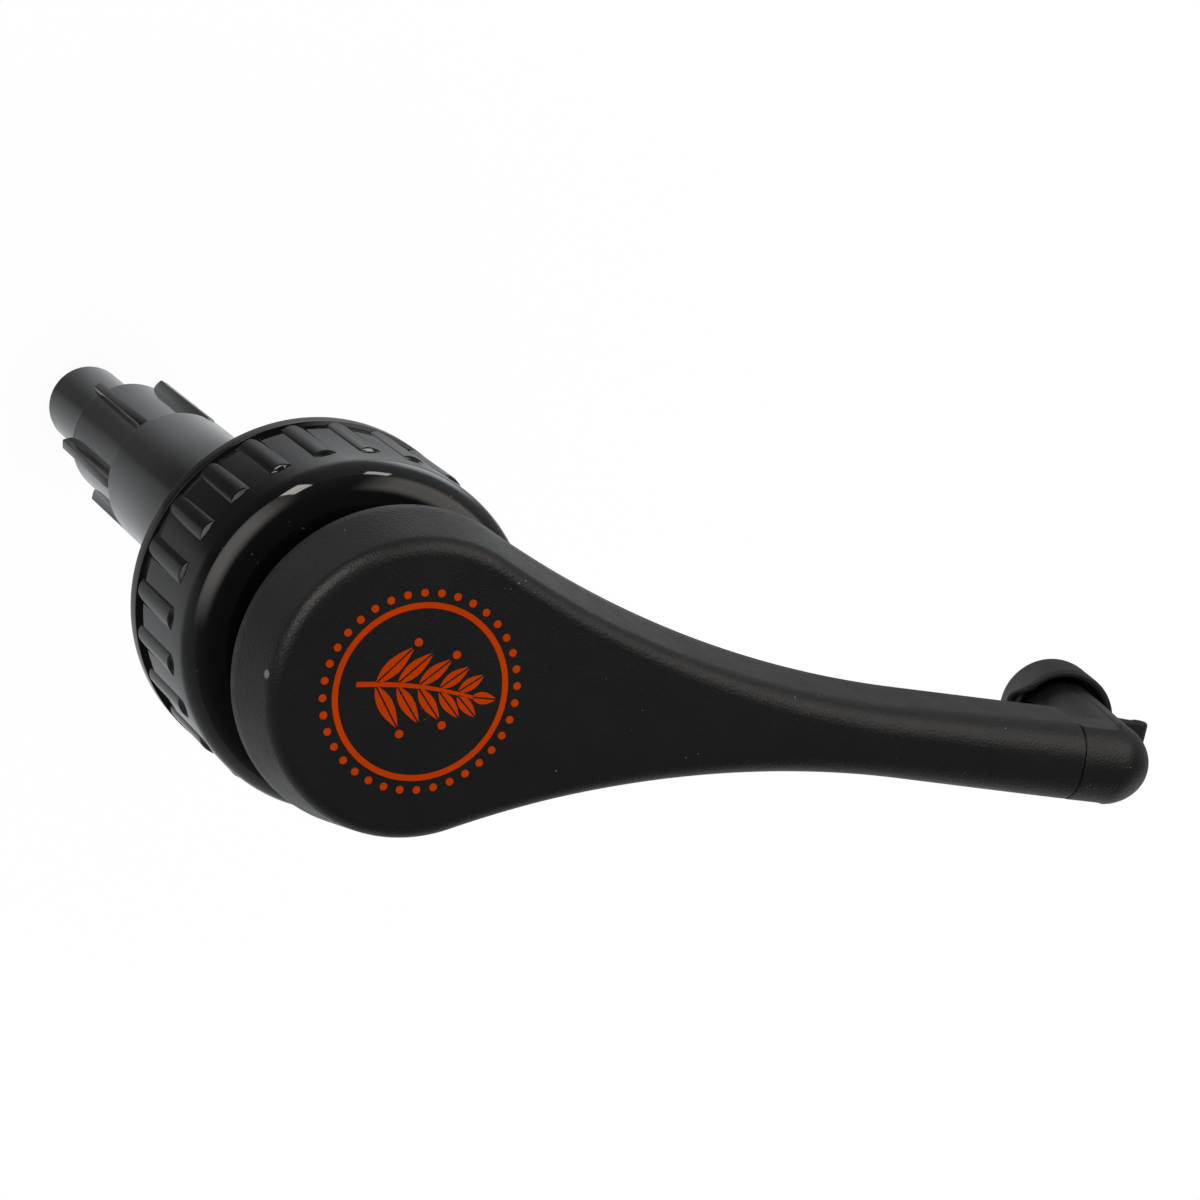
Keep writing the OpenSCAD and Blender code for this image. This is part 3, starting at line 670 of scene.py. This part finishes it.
# Barrel, lower barrel and spigot as one moulding, with its flange, bores and rounded fins
def build_housing():
    shells = Shells()
    fillet = LOWER_R - SPIGOT_R
    profile = rounded([
        (BARREL_BORE_R, FLANGE_TOP, 0.3), (FLANGE_R, FLANGE_TOP, 0.3), (FLANGE_R, GASKET_H, 0.3),
        (BARREL_R, GASKET_H, 0.5), (BARREL_R, BARREL_MID_Z), (BARREL_R, BARREL_Z, BARREL_ROUND),
        (LOWER_R, BARREL_Z, 0.25), (LOWER_R, LOWER_Z + 0.5, 1.6), (SPIGOT_R, LOWER_Z - fillet + 0.4, 2.2),
        (SPIGOT_R, SPIGOT_Z, 0.35), (DIP_BORE_R, SPIGOT_Z, 0.35),
        (DIP_BORE_R, DIP_BORE_Z, 0.2), (INLET_HOLE_R, DIP_BORE_Z), (INLET_HOLE_R, INLET_SEAT_Z),
        (BALL_ROOM_R, INLET_SEAT_Z), (BALL_ROOM_R, POCKET_Z), (LOWER_BORE_R, POCKET_Z),
        (LOWER_BORE_R, BORE_Z), (BARREL_BORE_R, BORE_Z)], 10)
    shells.add(*revolve(profile, 192))
    # A fin's side, from the barrel down to its sloped foot, and the rings that round its long edges
    side = rounded([(LOWER_R - FIN_SINK, FIN_TOP_Z), (BARREL_R - 0.15, FIN_TOP_Z), (FIN_R, BARREL_Z - 0.4),
                    (FIN_R, FIN_END_Z + 0.7, 0.4), (FIN_R - 0.9, FIN_END_Z, 0.4),
                    (LOWER_R - FIN_SINK, FIN_END_Z)], 5)
    middle_z = side.mean(axis=0)[1]
    for i in range(FIN_COUNT):
        angle = math.radians(FIN_PHASE + 360 * i / FIN_COUNT)
        rings = []
        for shrink, y in ((0.18, -1), (0.05, -0.93), (0, -0.76), (0, 0.76), (0.05, 0.93), (0.18, 1)):
            ring = []
            for r, z in side:
                far = (r - LOWER_R + FIN_SINK) / (FIN_R - LOWER_R + FIN_SINK)
                across = y * (FIN_T / 2 * (1 - FIN_TAPER * far))
                out = r - (shrink if r > LOWER_R else 0)
                up = z + (shrink if z < middle_z else 0)
                ring.append((out * math.cos(angle) - across * math.sin(angle),
                             out * math.sin(angle) + across * math.cos(angle), up))
            rings.append(ring)
        shells.add(*rings_shell(rings))
    return piece("housing_moulding", shells.points, shells.faces, barrel_black, "housing",
                 ["pump_housing"], sharp=34)


housing_moulding = build_housing()


# Mesh of the zero level of a distance field, by surface nets, with its points drawn onto the level
def field_mesh(field, low, high, step):
    low, high = np.array(low, float), np.array(high, float)
    count = np.ceil((high - low) / step).astype(int) + 1
    axes = [low[i] + step * np.arange(count[i]) for i in range(3)]
    spots = np.stack(np.meshgrid(*axes, indexing="ij"), axis=-1)
    value = field(spots.reshape(-1, 3)).reshape(count)
    inside = value < 0
    corner = [(i, j, k) for i in (0, 1) for j in (0, 1) for k in (0, 1)]
    cells = count - 1

    def at(array, offset):
        i, j, k = offset
        return array[i:i + cells[0], j:j + cells[1], k:k + cells[2]]

    filled = sum(at(inside, c).astype(int) for c in corner)
    mixed = (filled > 0) & (filled < 8)
    index = -np.ones(cells, int)
    index[mixed] = np.arange(mixed.sum())
    where = np.argwhere(mixed)
    total = np.zeros((len(where), 3))
    hits = np.zeros(len(where))
    for a in corner:
        for axis in range(3):
            if a[axis]:
                continue
            b = list(a)
            b[axis] = 1
            va = value[tuple((where + a).T)]
            vb = value[tuple((where + b).T)]
            cross = (va < 0) != (vb < 0)
            t = np.where(cross, va / np.where(cross, va - vb, 1), 0)
            spot = (where + a).astype(float)
            spot[:, axis] += t
            total[cross] += spot[cross]
            hits[cross] += 1
    points = low + step * total / hits[:, None]
    faces = []
    for axis in range(3):
        u, v = (axis + 1) % 3, (axis + 2) % 3
        first = np.take(inside, range(count[axis] - 1), axis)
        second = np.take(inside, range(1, count[axis]), axis)
        for edge in np.argwhere(first != second):
            if edge[u] == 0 or edge[v] == 0 or edge[u] >= cells[u] or edge[v] >= cells[v]:
                continue
            ring = []
            for du, dv in ((0, 0), (-1, 0), (-1, -1), (0, -1)):
                cell = edge.copy()
                cell[u] += du
                cell[v] += dv
                ring.append(index[tuple(cell)])
            faces.append(tuple(ring) if first[tuple(edge)] else tuple(ring[::-1]))
    small_step = 0.01
    for _ in range(4):
        here = field(points)
        slope = np.zeros_like(points)
        for axis in range(3):
            nudge = np.zeros(3)
            nudge[axis] = small_step
            slope[:, axis] = (field(points + nudge) - field(points - nudge)) / (2 * small_step)
        size = np.clip((slope ** 2).sum(axis=1), 0.25, None)
        points -= (here / size)[:, None] * slope
    return points, faces


def smooth_min(a, b, k):
    h = np.clip(0.5 + 0.5 * (b - a) / k, 0, 1)
    return b + (a - b) * h - k * h * (1 - h)


def smooth_max(a, b, k):
    return -smooth_min(-a, -b, k)


LEG_AXIS = np.array([math.sin(LEG_TILT), 0, -math.cos(LEG_TILT)])
LEG_SIDE = np.array([-math.cos(LEG_TILT), 0, -math.sin(LEG_TILT)])
BEND = np.array([BEND_X, 0, BEND_Z])
LEG_TOP = BEND + np.array([LEG_SHIFT, 0, 0])


# Elbow: a domed end whose bored leg grows out of its underside with a small fillet, with shallow flats
# on the sides of the leg
def elbow_field(p):
    q = p - BEND
    x = np.minimum(q[:, 0], 0)
    body = np.sqrt((q[:, 0] - x) ** 2 + q[:, 1] ** 2 + q[:, 2] ** 2) - ELBOW_R
    body = smooth_max(body, ARM_LEN + PARTING_GAP - p[:, 0], ELBOW_EASE)
    q = p - LEG_TOP - np.array([LEG_OUT, 0, 0])
    t = q @ LEG_AXIS
    s = q @ LEG_SIDE
    radial = np.sqrt(s ** 2 + q[:, 1] ** 2)
    start = np.sqrt(radial ** 2 + np.minimum(t, 0) ** 2)
    leg = smooth_max(start - LEG_R + LEG_OUT, t - LEG_LEN, ELBOW_EASE)
    solid = smooth_min(body, leg, ELBOW_EASE)
    region = smooth_max(p[:, 2] - BEND_Z - FLAT_TOP, -s - FLAT_SIDE, FLAT_FADE)
    flats = smooth_max(region, FLAT_Y - np.abs(p[:, 1]), FLAT_STEP)
    solid = smooth_max(solid, -flats, FLAT_EASE)
    bore = np.maximum(radial - NOZZLE_BORE_R, -t)
    return smooth_max(solid, -bore, NOZZLE_BORE_EASE)


def build_elbow():
    low = (ARM_LEN - 0.6, -6.2, BEND_Z - 26)
    high = (BEND_X + 12.5, 6.2, BEND_Z + 6.2)
    points, faces = field_mesh(elbow_field, low, high, ELBOW_CELL)
    return piece("nozzle_moulding", points, faces, satin_black, "head",
                 ["nozzle_elbow"], sharp=60)


elbow_moulding = build_elbow()


# Point given along the leg's side, across it and down its axis
def from_leg(x, y, z):
    return tuple(LEG_TOP + LEG_SIDE * x + np.array([0, y, 0]) + LEG_AXIS * z)


# Pull tab in the leg's frame: a soft strap that ends in a bead
def tab_field(p):
    low = np.array([-TAB_R, -TAB_W / 2, CAP_RIM + 0.05])
    high = np.array([-(CAP_RIM_R - 0.5), TAB_W / 2, CAP_RIM + TAB_T])
    q = np.abs(p - (low + high) / 2) - (high - low) / 2 + TAB_EASE
    strap = np.linalg.norm(np.maximum(q, 0), axis=1) + np.minimum(q.max(axis=1), 0) - TAB_EASE
    bead_r = TAB_BEAD / 2
    ring = np.hypot(p[:, 0] + TAB_R - bead_r + TAB_BEAD_IN, p[:, 2] - CAP_RIM - bead_r) - bead_r
    bead = smooth_max(ring, np.abs(p[:, 1]) - TAB_W / 2, TAB_BEAD_EASE)
    return smooth_min(strap, bead, TAB_BLEND)


# Cap: a cup with a flared, dipped rim, and its pull tab
def build_cap():
    shells = Shells()
    columns = 144
    angles = np.arange(columns) * 2 * math.pi / columns
    away = np.abs((angles + math.pi) % (2 * math.pi) - math.pi)
    s = np.clip((CAP_DIP_EDGE - away) / CAP_DIP_RUN, 0, 1)
    rim = CAP_RIM + CAP_DIP * s * s * (3 - 2 * s)
    flat = np.ones(columns)
    rows = []

    def row(radius, z):
        rows.append((flat * radius, flat * z))

    def wall_r(z):
        return CAP_R + (CAP_RIM_R - CAP_R) * (CAP_END - z) / CAP_H

    for r in (CAP_MIDDLE_R, 2.2, 4.4, 5.2):
        row(r, CAP_END)
    corner, lip = CAP_CORNER, CAP_LIP_H
    for k in range(7):
        a = math.pi / 2 * k / 6
        row(CAP_R - corner + corner * math.sin(a), CAP_END - corner + corner * math.cos(a))
    for k in range(1, 13):
        z = (CAP_END - corner) + (rim + lip - CAP_END + corner) * k / 12
        rows.append((wall_r(z), z))
    for k in range(1, 8):
        a = math.pi * k / 8
        z = rim + lip - lip * math.sin(a)
        rows.append((wall_r(rim) - CAP_LIP / 2 + CAP_LIP / 2 * math.cos(a), z))
    for k in range(8):
        z = rim + lip + (CAP_GRIP_Z - CAP_GRIP_EASE - rim - lip) * k / 7
        rows.append((wall_r(z) - CAP_LIP, z))
    row(CAP_R - CAP_LIP - 0.12, CAP_GRIP_Z)
    row(CAP_GRIP_R + CAP_GRIP_EASE, CAP_GRIP_Z)
    row(CAP_GRIP_R, CAP_GRIP_Z + CAP_GRIP_EASE)
    for r in (CAP_GRIP_R, 2.0, CAP_MIDDLE_R):
        row(r, CAP_FLOOR)
    shells.add(*rings_shell([[from_leg(r * math.cos(a), r * math.sin(a), z)
                              for r, z, a in zip(radius, height, angles)] for radius, height in rows]))
    low = (-TAB_R - 1.2, -TAB_W / 2 - 0.4, CAP_RIM - 0.5)
    high = (-CAP_RIM_R + 0.9, TAB_W / 2 + 0.4, CAP_RIM + TAB_BEAD + 0.5)
    points, faces = field_mesh(tab_field, low, high, TAB_CELL)
    shells.add([from_leg(*point) for point in points], faces)
    return piece("cap_moulding", shells.points, shells.faces, soft_black, "cap",
                 ["nozzle_cap"], sharp=40)


cap_moulding = build_cap()


# Return spring: a round wire, coiled from the bottom to the top of the CAD spring
def build_spring():
    low, high = level("return_spring", False), level("return_spring", True)
    steps = COILS * COIL_STEPS
    rings = []
    for i in range(steps + 1):
        t = i / steps
        a = 2 * math.pi * COILS * t
        rise = low + WIRE_R + (high - low - 2 * WIRE_R) * t
        ring = []
        for k in range(WIRE_SIDES):
            b = 2 * math.pi * k / WIRE_SIDES
            r = SPRING_R + WIRE_R * math.cos(b)
            ring.append((r * math.cos(a), r * math.sin(a), rise + WIRE_R * math.sin(b)))
        rings.append(ring)
    points, faces = rings_shell(rings)
    spring = piece("spring_wire", points, faces, steel, None, ["return_spring"], sharp=50)
    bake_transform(spring)


build_spring()


# Generic orange print on the head: a plain ring, a beaded ring and a leafy sprig
def build_print():
    shells = Shells()
    z0, z1 = HEAD_TOP - PRINT_DEPTH, HEAD_TOP

    def dot(x, y, r, sides=20):
        turns = [2 * math.pi * k / sides for k in range(sides)]
        shells.add(*prism([(x + r * math.cos(a), y + r * math.sin(a)) for a in turns], z0, z1))

    # Leaf in two halves on either side of a bare vein
    def leaf(x, y, heading, length, width):
        for side in (1, -1):
            outline = []
            for k in range(17):
                t = k / 16
                belly = width * math.sin(math.pi * t) ** 0.85 * (1 - 0.35 * t)
                outline.append((t * length, side * (LEAF_VEIN + belly)))
            outline += [(length * (1 - k / 4), side * LEAF_VEIN) for k in range(1, 4)]
            c, s = math.cos(heading), math.sin(heading)
            shells.add(*prism([(x + c * u - s * v, y + s * u + c * v) for u, v in outline], z0, z1))

    r0, r1 = PRINT_RING
    shells.add(*revolve([(r0, z0), (r1, z0), (r1, z1), (r0, z1)], 180))
    for k in range(BEAD_COUNT):
        a = 2 * math.pi * k / BEAD_COUNT
        dot(BEAD_RING_R * math.cos(a), BEAD_RING_R * math.sin(a), BEAD_R)

    # The sprig grows along X, towards the spout
    def curve(t):
        return -7.8 + 14.2 * t, 0.6 * math.sin(3.0 * t)

    stem = [curve(t) for t in np.linspace(0, 1, 25)]
    left = [(x, y + 0.20 + 0.10 * (1 - k / 24)) for k, (x, y) in enumerate(stem)]
    right = [(x, y - 0.20 - 0.10 * (1 - k / 24)) for k, (x, y) in enumerate(stem)]
    shells.add(*prism(left + right[::-1], z0, z1))
    for k, along in enumerate(LEAF_PLACES):
        x, y = curve(along)
        length = 5.6 - 0.55 * k
        for side in (1, -1):
            heading = side * math.radians(52 - 3 * k)
            root_y = y + 0.25 * side
            leaf(x + 0.1, root_y, heading, length, 0.98 - 0.06 * k)
            berry = length + 0.95
            if k in (0, 2):
                dot(x + berry * math.cos(heading), root_y + berry * math.sin(heading), BERRY_R)
    leaf(*curve(0.99), 0.02, 2.9, 0.75)
    return piece("head_print", shells.points, shells.faces, print_ink, "head", sharp=30)


head_print = build_print()


# Gate mark on the head's back wall: a small broken-off stub in a shallow ring
def build_gate():
    draft = math.tan(HEAD_DRAFT)
    c, s = math.cos(GATE_BEARING), math.sin(GATE_BEARING)
    rings = []
    for radius, proud in GATE_RINGS:
        ring = []
        for k in range(24):
            a = 2 * math.pi * k / 24
            jag = 1 + 0.14 * math.sin(3 * a + 1) * (radius < 0.3)
            z = GATE_Z + radius * jag * math.sin(a)
            r = HEAD_R - draft * (z - HEAD_Z - HEAD_FOOT_EASE) + proud
            across = radius * jag * math.cos(a)
            ring.append((r * c - across * s, r * s + across * c, z))
        rings.append(ring)
    points, faces = rings_shell(rings)
    return piece("gate_mark", points, faces, whitened, "head", sharp=30)


gate_mark = build_gate()

# Finishes of the CAD nodes that stay
FINISH = {
    "stem_guide": gloss_black,
    "stem_seal": seal_rubber,
    "bottle_gasket": gasket_foam,
    "stem": natural,
    "piston": natural,
    "piston_retainer": natural,
    "ball_cage": natural,
    "outlet_seat": natural,
    "outlet_ball": steel,
    "inlet_ball": steel,
}
for name, material in FINISH.items():
    nodes[name].data.materials.clear()
    nodes[name].data.materials.append(material)


# Light path tests that the floor and the world share: rays from the camera, and rays that mirror or
# pass through
def path_tests(tree):
    path = tree.nodes.new("ShaderNodeLightPath")
    either = calculate(tree, "MAXIMUM", path.outputs["Is Glossy Ray"], path.outputs["Is Transmission Ray"])
    return path.outputs["Is Camera Ray"], either


def mix_shaders(tree, factor, first, second):
    mix = tree.nodes.new("ShaderNodeMixShader")
    tree.links.new(factor, mix.inputs["Fac"])
    tree.links.new(first, mix.inputs[1])
    tree.links.new(second, mix.inputs[2])
    return mix.outputs["Shader"]


# Emission or background with a strength that is a number or a value
def glow(tree, kind, colour, strength):
    node = tree.nodes.new(kind)
    node.inputs["Color"].default_value = (*colour, 1)
    if isinstance(strength, float):
        node.inputs["Strength"].default_value = strength
    else:
        tree.links.new(strength, node.inputs["Strength"])
    return node.outputs[0]


def diffuse(tree, grey):
    node = tree.nodes.new("ShaderNodeBsdfDiffuse")
    node.inputs["Color"].default_value = (grey, grey, grey, 1)
    return node.outputs["BSDF"]


# Grey level along a factor, from pairs of factor and level
def grey_ramp(tree, factor, stops):
    node = tree.nodes.new("ShaderNodeValToRGB")
    ramp = node.color_ramp
    while len(ramp.elements) < len(stops):
        ramp.elements.new(0.5)
    for element, (place, grey) in zip(ramp.elements, stops):
        element.position = place
        element.color = (grey, grey, grey, 1)
    tree.links.new(factor, node.inputs["Fac"])
    return node.outputs["Color"]


# Bearing about the pump's axis as a factor, with 0.5 on the camera's side
def bearing_factor(tree, place):
    turn = tree.nodes.new("ShaderNodeMapping")
    turn.inputs["Rotation"].default_value = (0, 0, math.radians(-CAMERA_SIDE))
    tree.links.new(place, turn.inputs["Vector"])
    gradient = tree.nodes.new("ShaderNodeTexGradient")
    gradient.gradient_type = "RADIAL"
    tree.links.new(turn.outputs["Vector"], gradient.inputs["Vector"])
    return gradient.outputs["Fac"]


# Stops of a ramp from pairs of bearing off the camera's side and level
def by_bearing(pairs):
    return [(0.5 + degrees / 360, grey) for degrees, grey in pairs]


# Painted reflections: greys that the floor glows with in reflections only, darkest on the camera's side,
# round the foot and in three rings further out
CAMERA_SIDE = 154
FLOOR_UNDER = by_bearing([
    (-180, 1.0), (-140, 0.75), (-90, 0.62), (-56, 0.50), (-34, 0.30), (-14, 0.17), (8, 0.16),
    (20, 0.30), (40, 0.45), (70, 0.60), (120, 0.70), (180, 1.0)])
FLOOR_NEAR = by_bearing([
    (-180, 1.0), (-165, 0.60), (-145, 0.34), (-127, 0.30), (-105, 0.33), (-84, 0.35), (-66, 0.36),
    (-50, 0.30), (-36, 0.20), (-24, 0.11), (-8, 0.10), (9, 0.11), (14, 0.25), (36, 0.32),
    (56, 0.40), (90, 0.45), (140, 0.60), (180, 1.0)])
FLOOR_MID = by_bearing([
    (-180, 1.0), (-165, 1.0), (-145, 0.80), (-127, 0.45), (-105, 0.60), (-84, 0.80), (-66, 0.50),
    (-52, 0.25), (-40, 0.10), (-24, 0.05), (4, 0.05), (12, 0.08), (20, 0.22), (40, 0.32),
    (60, 0.40), (100, 0.45), (140, 0.60), (180, 1.0)])
FLOOR_FAR = by_bearing([
    (-180, 0.50), (-160, 0.30), (-129, 0.25), (-109, 0.40), (-76, 0.34), (-54, 0.24), (-38, 0.10),
    (-26, 0.06), (-14, 0.06), (14, 0.06), (24, 0.20), (36, 0.28), (56, 0.26), (90, 0.34),
    (150, 0.42), (180, 0.50)])

# Each ring with the distances in metres between which it takes over
FLOOR_RINGS = ((FLOOR_NEAR, 0.026, 0.036), (FLOOR_MID, 0.060, 0.072), (FLOOR_FAR, 0.098, 0.135))
FLOOR_SIZE = 4.0
FLOOR_DROP = 0.0005
FLOOR_PAINT = 0.9
FLOOR_SHADE = 0.15
FLOOR_WHITE = 0.915
ROOM_GREY = [(0.0, 0.16), (0.20, 0.12), (0.36, 0.09), (0.55, 0.06), (0.80, 0.05)]
ROOM_COLOUR = (0.97, 0.985, 1.0)
ROOM_LIGHT = 0.60
PALE_BLUE = (0.96, 0.98, 1.0)
WHITE = (1, 1, 1)


# Painted reflection greys of the floor, blended from ring to ring by the distance from the pump's axis
def painted_reflection_greys(tree, place):
    flat = tree.nodes.new("ShaderNodeVectorMath")
    flat.operation = "MULTIPLY"
    flat.inputs[1].default_value = (1, 1, 0)
    tree.links.new(place, flat.inputs[0])
    away = tree.nodes.new("ShaderNodeVectorMath")
    away.operation = "LENGTH"
    tree.links.new(flat.outputs["Vector"], away.inputs[0])
    bearing = bearing_factor(tree, place)
    grey = grey_ramp(tree, bearing, FLOOR_UNDER)
    for stops, inner, outer in FLOOR_RINGS:
        share = map_range(tree, away.outputs["Value"], inner, outer, 0.0, 1.0)
        blend = tree.nodes.new("ShaderNodeMixRGB")
        tree.links.new(share.outputs["Result"], blend.inputs["Fac"])
        tree.links.new(grey, blend.inputs["Color1"])
        tree.links.new(grey_ramp(tree, bearing, stops), blend.inputs["Color2"])
        grey = blend.outputs["Color"]
    return grey


# Stage: a pale floor, white to the camera, that keeps a faint shadow; in reflections it glows with painted
# greys instead of its own lit colour
def build_stage():
    floor_mesh = bpy.data.meshes.new("floor")
    z = cad_lo.z - FLOOR_DROP
    corners = [(x * FLOOR_SIZE, y * FLOOR_SIZE, z) for x, y in ((-1, -1), (1, -1), (1, 1), (-1, 1))]
    floor_mesh.from_pydata(corners, [], [(0, 1, 2, 3)])
    floor = bpy.data.objects.new("floor", floor_mesh)
    scene.collection.objects.link(floor)
    material = bpy.data.materials.new("floor")
    material.use_nodes = True
    tree = material.node_tree
    tree.nodes.clear()
    out = tree.nodes.new("ShaderNodeOutputMaterial")
    to_camera, to_mirror = path_tests(tree)
    place = tree.nodes.new("ShaderNodeTexCoord")
    greys = painted_reflection_greys(tree, place.outputs["Object"])
    # Painted reflection: in mirrored rays the floor glows with these greys, which paint light and dark
    # bands into the pump's reflections
    reflection_glow = glow(tree, "ShaderNodeEmission", PALE_BLUE, greys)
    surface = mix_shaders(tree, to_mirror, diffuse(tree, FLOOR_PAINT), reflection_glow)
    seen = tree.nodes.new("ShaderNodeAddShader")
    tree.links.new(diffuse(tree, FLOOR_SHADE), seen.inputs[0])
    tree.links.new(glow(tree, "ShaderNodeEmission", WHITE, FLOOR_WHITE), seen.inputs[1])
    surface = mix_shaders(tree, to_camera, surface, seen.outputs["Shader"])
    # One-sided, so that the pump can be seen from below
    side = tree.nodes.new("ShaderNodeNewGeometry")
    clear = tree.nodes.new("ShaderNodeBsdfTransparent")
    surface = mix_shaders(tree, side.outputs["Backfacing"], surface, clear.outputs["BSDF"])
    tree.links.new(surface, out.inputs["Surface"])
    floor_mesh.materials.append(material)


# World: white to the camera, dim in reflections and darkest overhead, and otherwise an even light
def build_world():
    world = bpy.data.worlds.new("studio")
    world.use_nodes = True
    scene.world = world
    tree = world.node_tree
    tree.nodes.clear()
    out = tree.nodes.new("ShaderNodeOutputWorld")
    place = tree.nodes.new("ShaderNodeTexCoord")
    split = tree.nodes.new("ShaderNodeSeparateXYZ")
    tree.links.new(place.outputs["Generated"], split.inputs["Vector"])
    greys = grey_ramp(tree, split.outputs["Z"], ROOM_GREY)
    room = glow(tree, "ShaderNodeBackground", ROOM_COLOUR, greys)
    to_camera, to_mirror = path_tests(tree)
    white = glow(tree, "ShaderNodeBackground", WHITE, 1.0)
    light = glow(tree, "ShaderNodeBackground", PALE_BLUE, ROOM_LIGHT)
    surface = mix_shaders(tree, to_mirror, light, room)
    surface = mix_shaders(tree, to_camera, surface, white)
    tree.links.new(surface, out.inputs["Surface"])


LAMP_AIM = Vector((0.02, 0, 0.01))


# Lamp by its bearing and height in degrees seen from the head, with the brightness of its face, a soft
# border, the pieces that it lights and its roll in degrees about its own axis
def softbox(name, bearing, height, distance, width, tall, brightness, colour, soft, onto, roll):
    a, e = math.radians(bearing), math.radians(height)
    way = Vector((math.cos(e) * math.cos(a), math.cos(e) * math.sin(a), math.sin(e)))
    place = LAMP_AIM + distance * way
    data = bpy.data.lights.new(name, "AREA")
    data.shape = "RECTANGLE"
    data.size = width
    data.size_y = tall
    data.energy = brightness * math.pi * width * tall
    data.color = colour
    data.use_nodes = True
    tree = data.node_tree
    tree.nodes.clear()
    face = tree.nodes.new("ShaderNodeNewGeometry")
    split = tree.nodes.new("ShaderNodeSeparateXYZ")
    tree.links.new(face.outputs["Parametric"], split.inputs["Vector"])
    fades = []
    for axis in ("X", "Y"):
        off = calculate(tree, "SUBTRACT", split.outputs[axis], 0.5)
        edge = map_range(tree, calculate(tree, "ABSOLUTE", off), 0.5 - soft, 0.5, 1.0, 0.0)
        edge.interpolation_type = "SMOOTHSTEP"
        fades.append(edge.outputs["Result"])
    emission = tree.nodes.new("ShaderNodeEmission")
    tree.links.new(calculate(tree, "MULTIPLY", *fades), emission.inputs["Strength"])
    out = tree.nodes.new("ShaderNodeOutputLight")
    tree.links.new(emission.outputs["Emission"], out.inputs["Surface"])
    lamp = bpy.data.objects.new(name, data)
    lamp.location = place
    lamp.rotation_mode = "QUATERNION"
    upright = (LAMP_AIM - place).to_track_quat("-Z", "Y")
    lamp.rotation_quaternion = upright @ Quaternion((0, 0, 1), math.radians(roll))
    lamp.visible_camera = False
    lamp.light_linking.receiver_collection = onto
    scene.collection.objects.link(lamp)


def lit_group(name, pieces):
    group = bpy.data.collections.new(name)
    for obj in pieces:
        group.objects.link(obj)
    return group


SATIN = lit_group("satin_pieces", [head_moulding, elbow_moulding, cap_moulding, head_print, gate_mark])
GLOSS = lit_group("gloss_pieces", [collar_moulding, housing_moulding] + [nodes[name] for name in FINISH])
build_stage()
build_world()
WARM = (1.0, 0.94, 0.87)
COOL = (0.92, 0.96, 1.0)

# Bearing, height, distance, width, tall, brightness, colour, soft border, lit pieces and roll of each lamp
LAMPS = {
    "head_front": (145, 29, 0.50, 0.74, 0.54, 2.5, WARM, 0.38, SATIN, 0),
    "head_side": (58, 36, 0.50, 0.66, 0.76, 1.35, WARM, 0.35, SATIN, 0),
    "head_low": (142, -36, 0.18, 0.20, 0.10, 0.42, COOL, 0.35, SATIN, 0),
    "strip": (156, 0, 0.40, 0.68, 0.45, 2.2, WARM, 0.40, GLOSS, 0),
    "side": (48, 22, 0.50, 0.84, 0.49, 1.8, WARM, 0.30, GLOSS, 0),
    "back_satin": (330, 5, 0.55, 0.50, 0.40, 0.45, WARM, 0.35, SATIN, 0),
    "back_gloss": (325, 15, 0.55, 0.50, 0.44, 1.4, WARM, 0.35, GLOSS, 0),
    "window_left": (121, -9.5, 0.215, 0.036, 0.062, 8.0, WARM, 0.03, GLOSS, 20),
    "window_right": (82, -5, 0.40, 0.08, 0.055, 7.0, WARM, 0.06, GLOSS, -20),
    "collar_side": (59, -46, 0.16, 0.12, 0.10, 1.5, COOL, 0.42, GLOSS, 0),
}
for name, values in LAMPS.items():
    softbox(name, *values)

# Camera at the photograph's place
eye = Vector((-0.16874, 0.10259, 0.42928))
ahead = Vector((0.41261, -0.19626, -0.88951)).normalized()
right = Vector((0.90329, 0.21416, 0.37175))
right = (right - ahead * right.dot(ahead)).normalized()
up = right.cross(ahead)
camera_data = bpy.data.cameras.new("camera")
camera_data.sensor_width = 36
camera_data.lens = 120
camera = bpy.data.objects.new("camera", camera_data)
turn = Matrix((right, up, -ahead)).transposed()
camera.matrix_world = Matrix.Translation(eye) @ turn.to_4x4()
scene.collection.objects.link(camera)
scene.camera = camera
scene.view_settings.view_transform = "Standard"
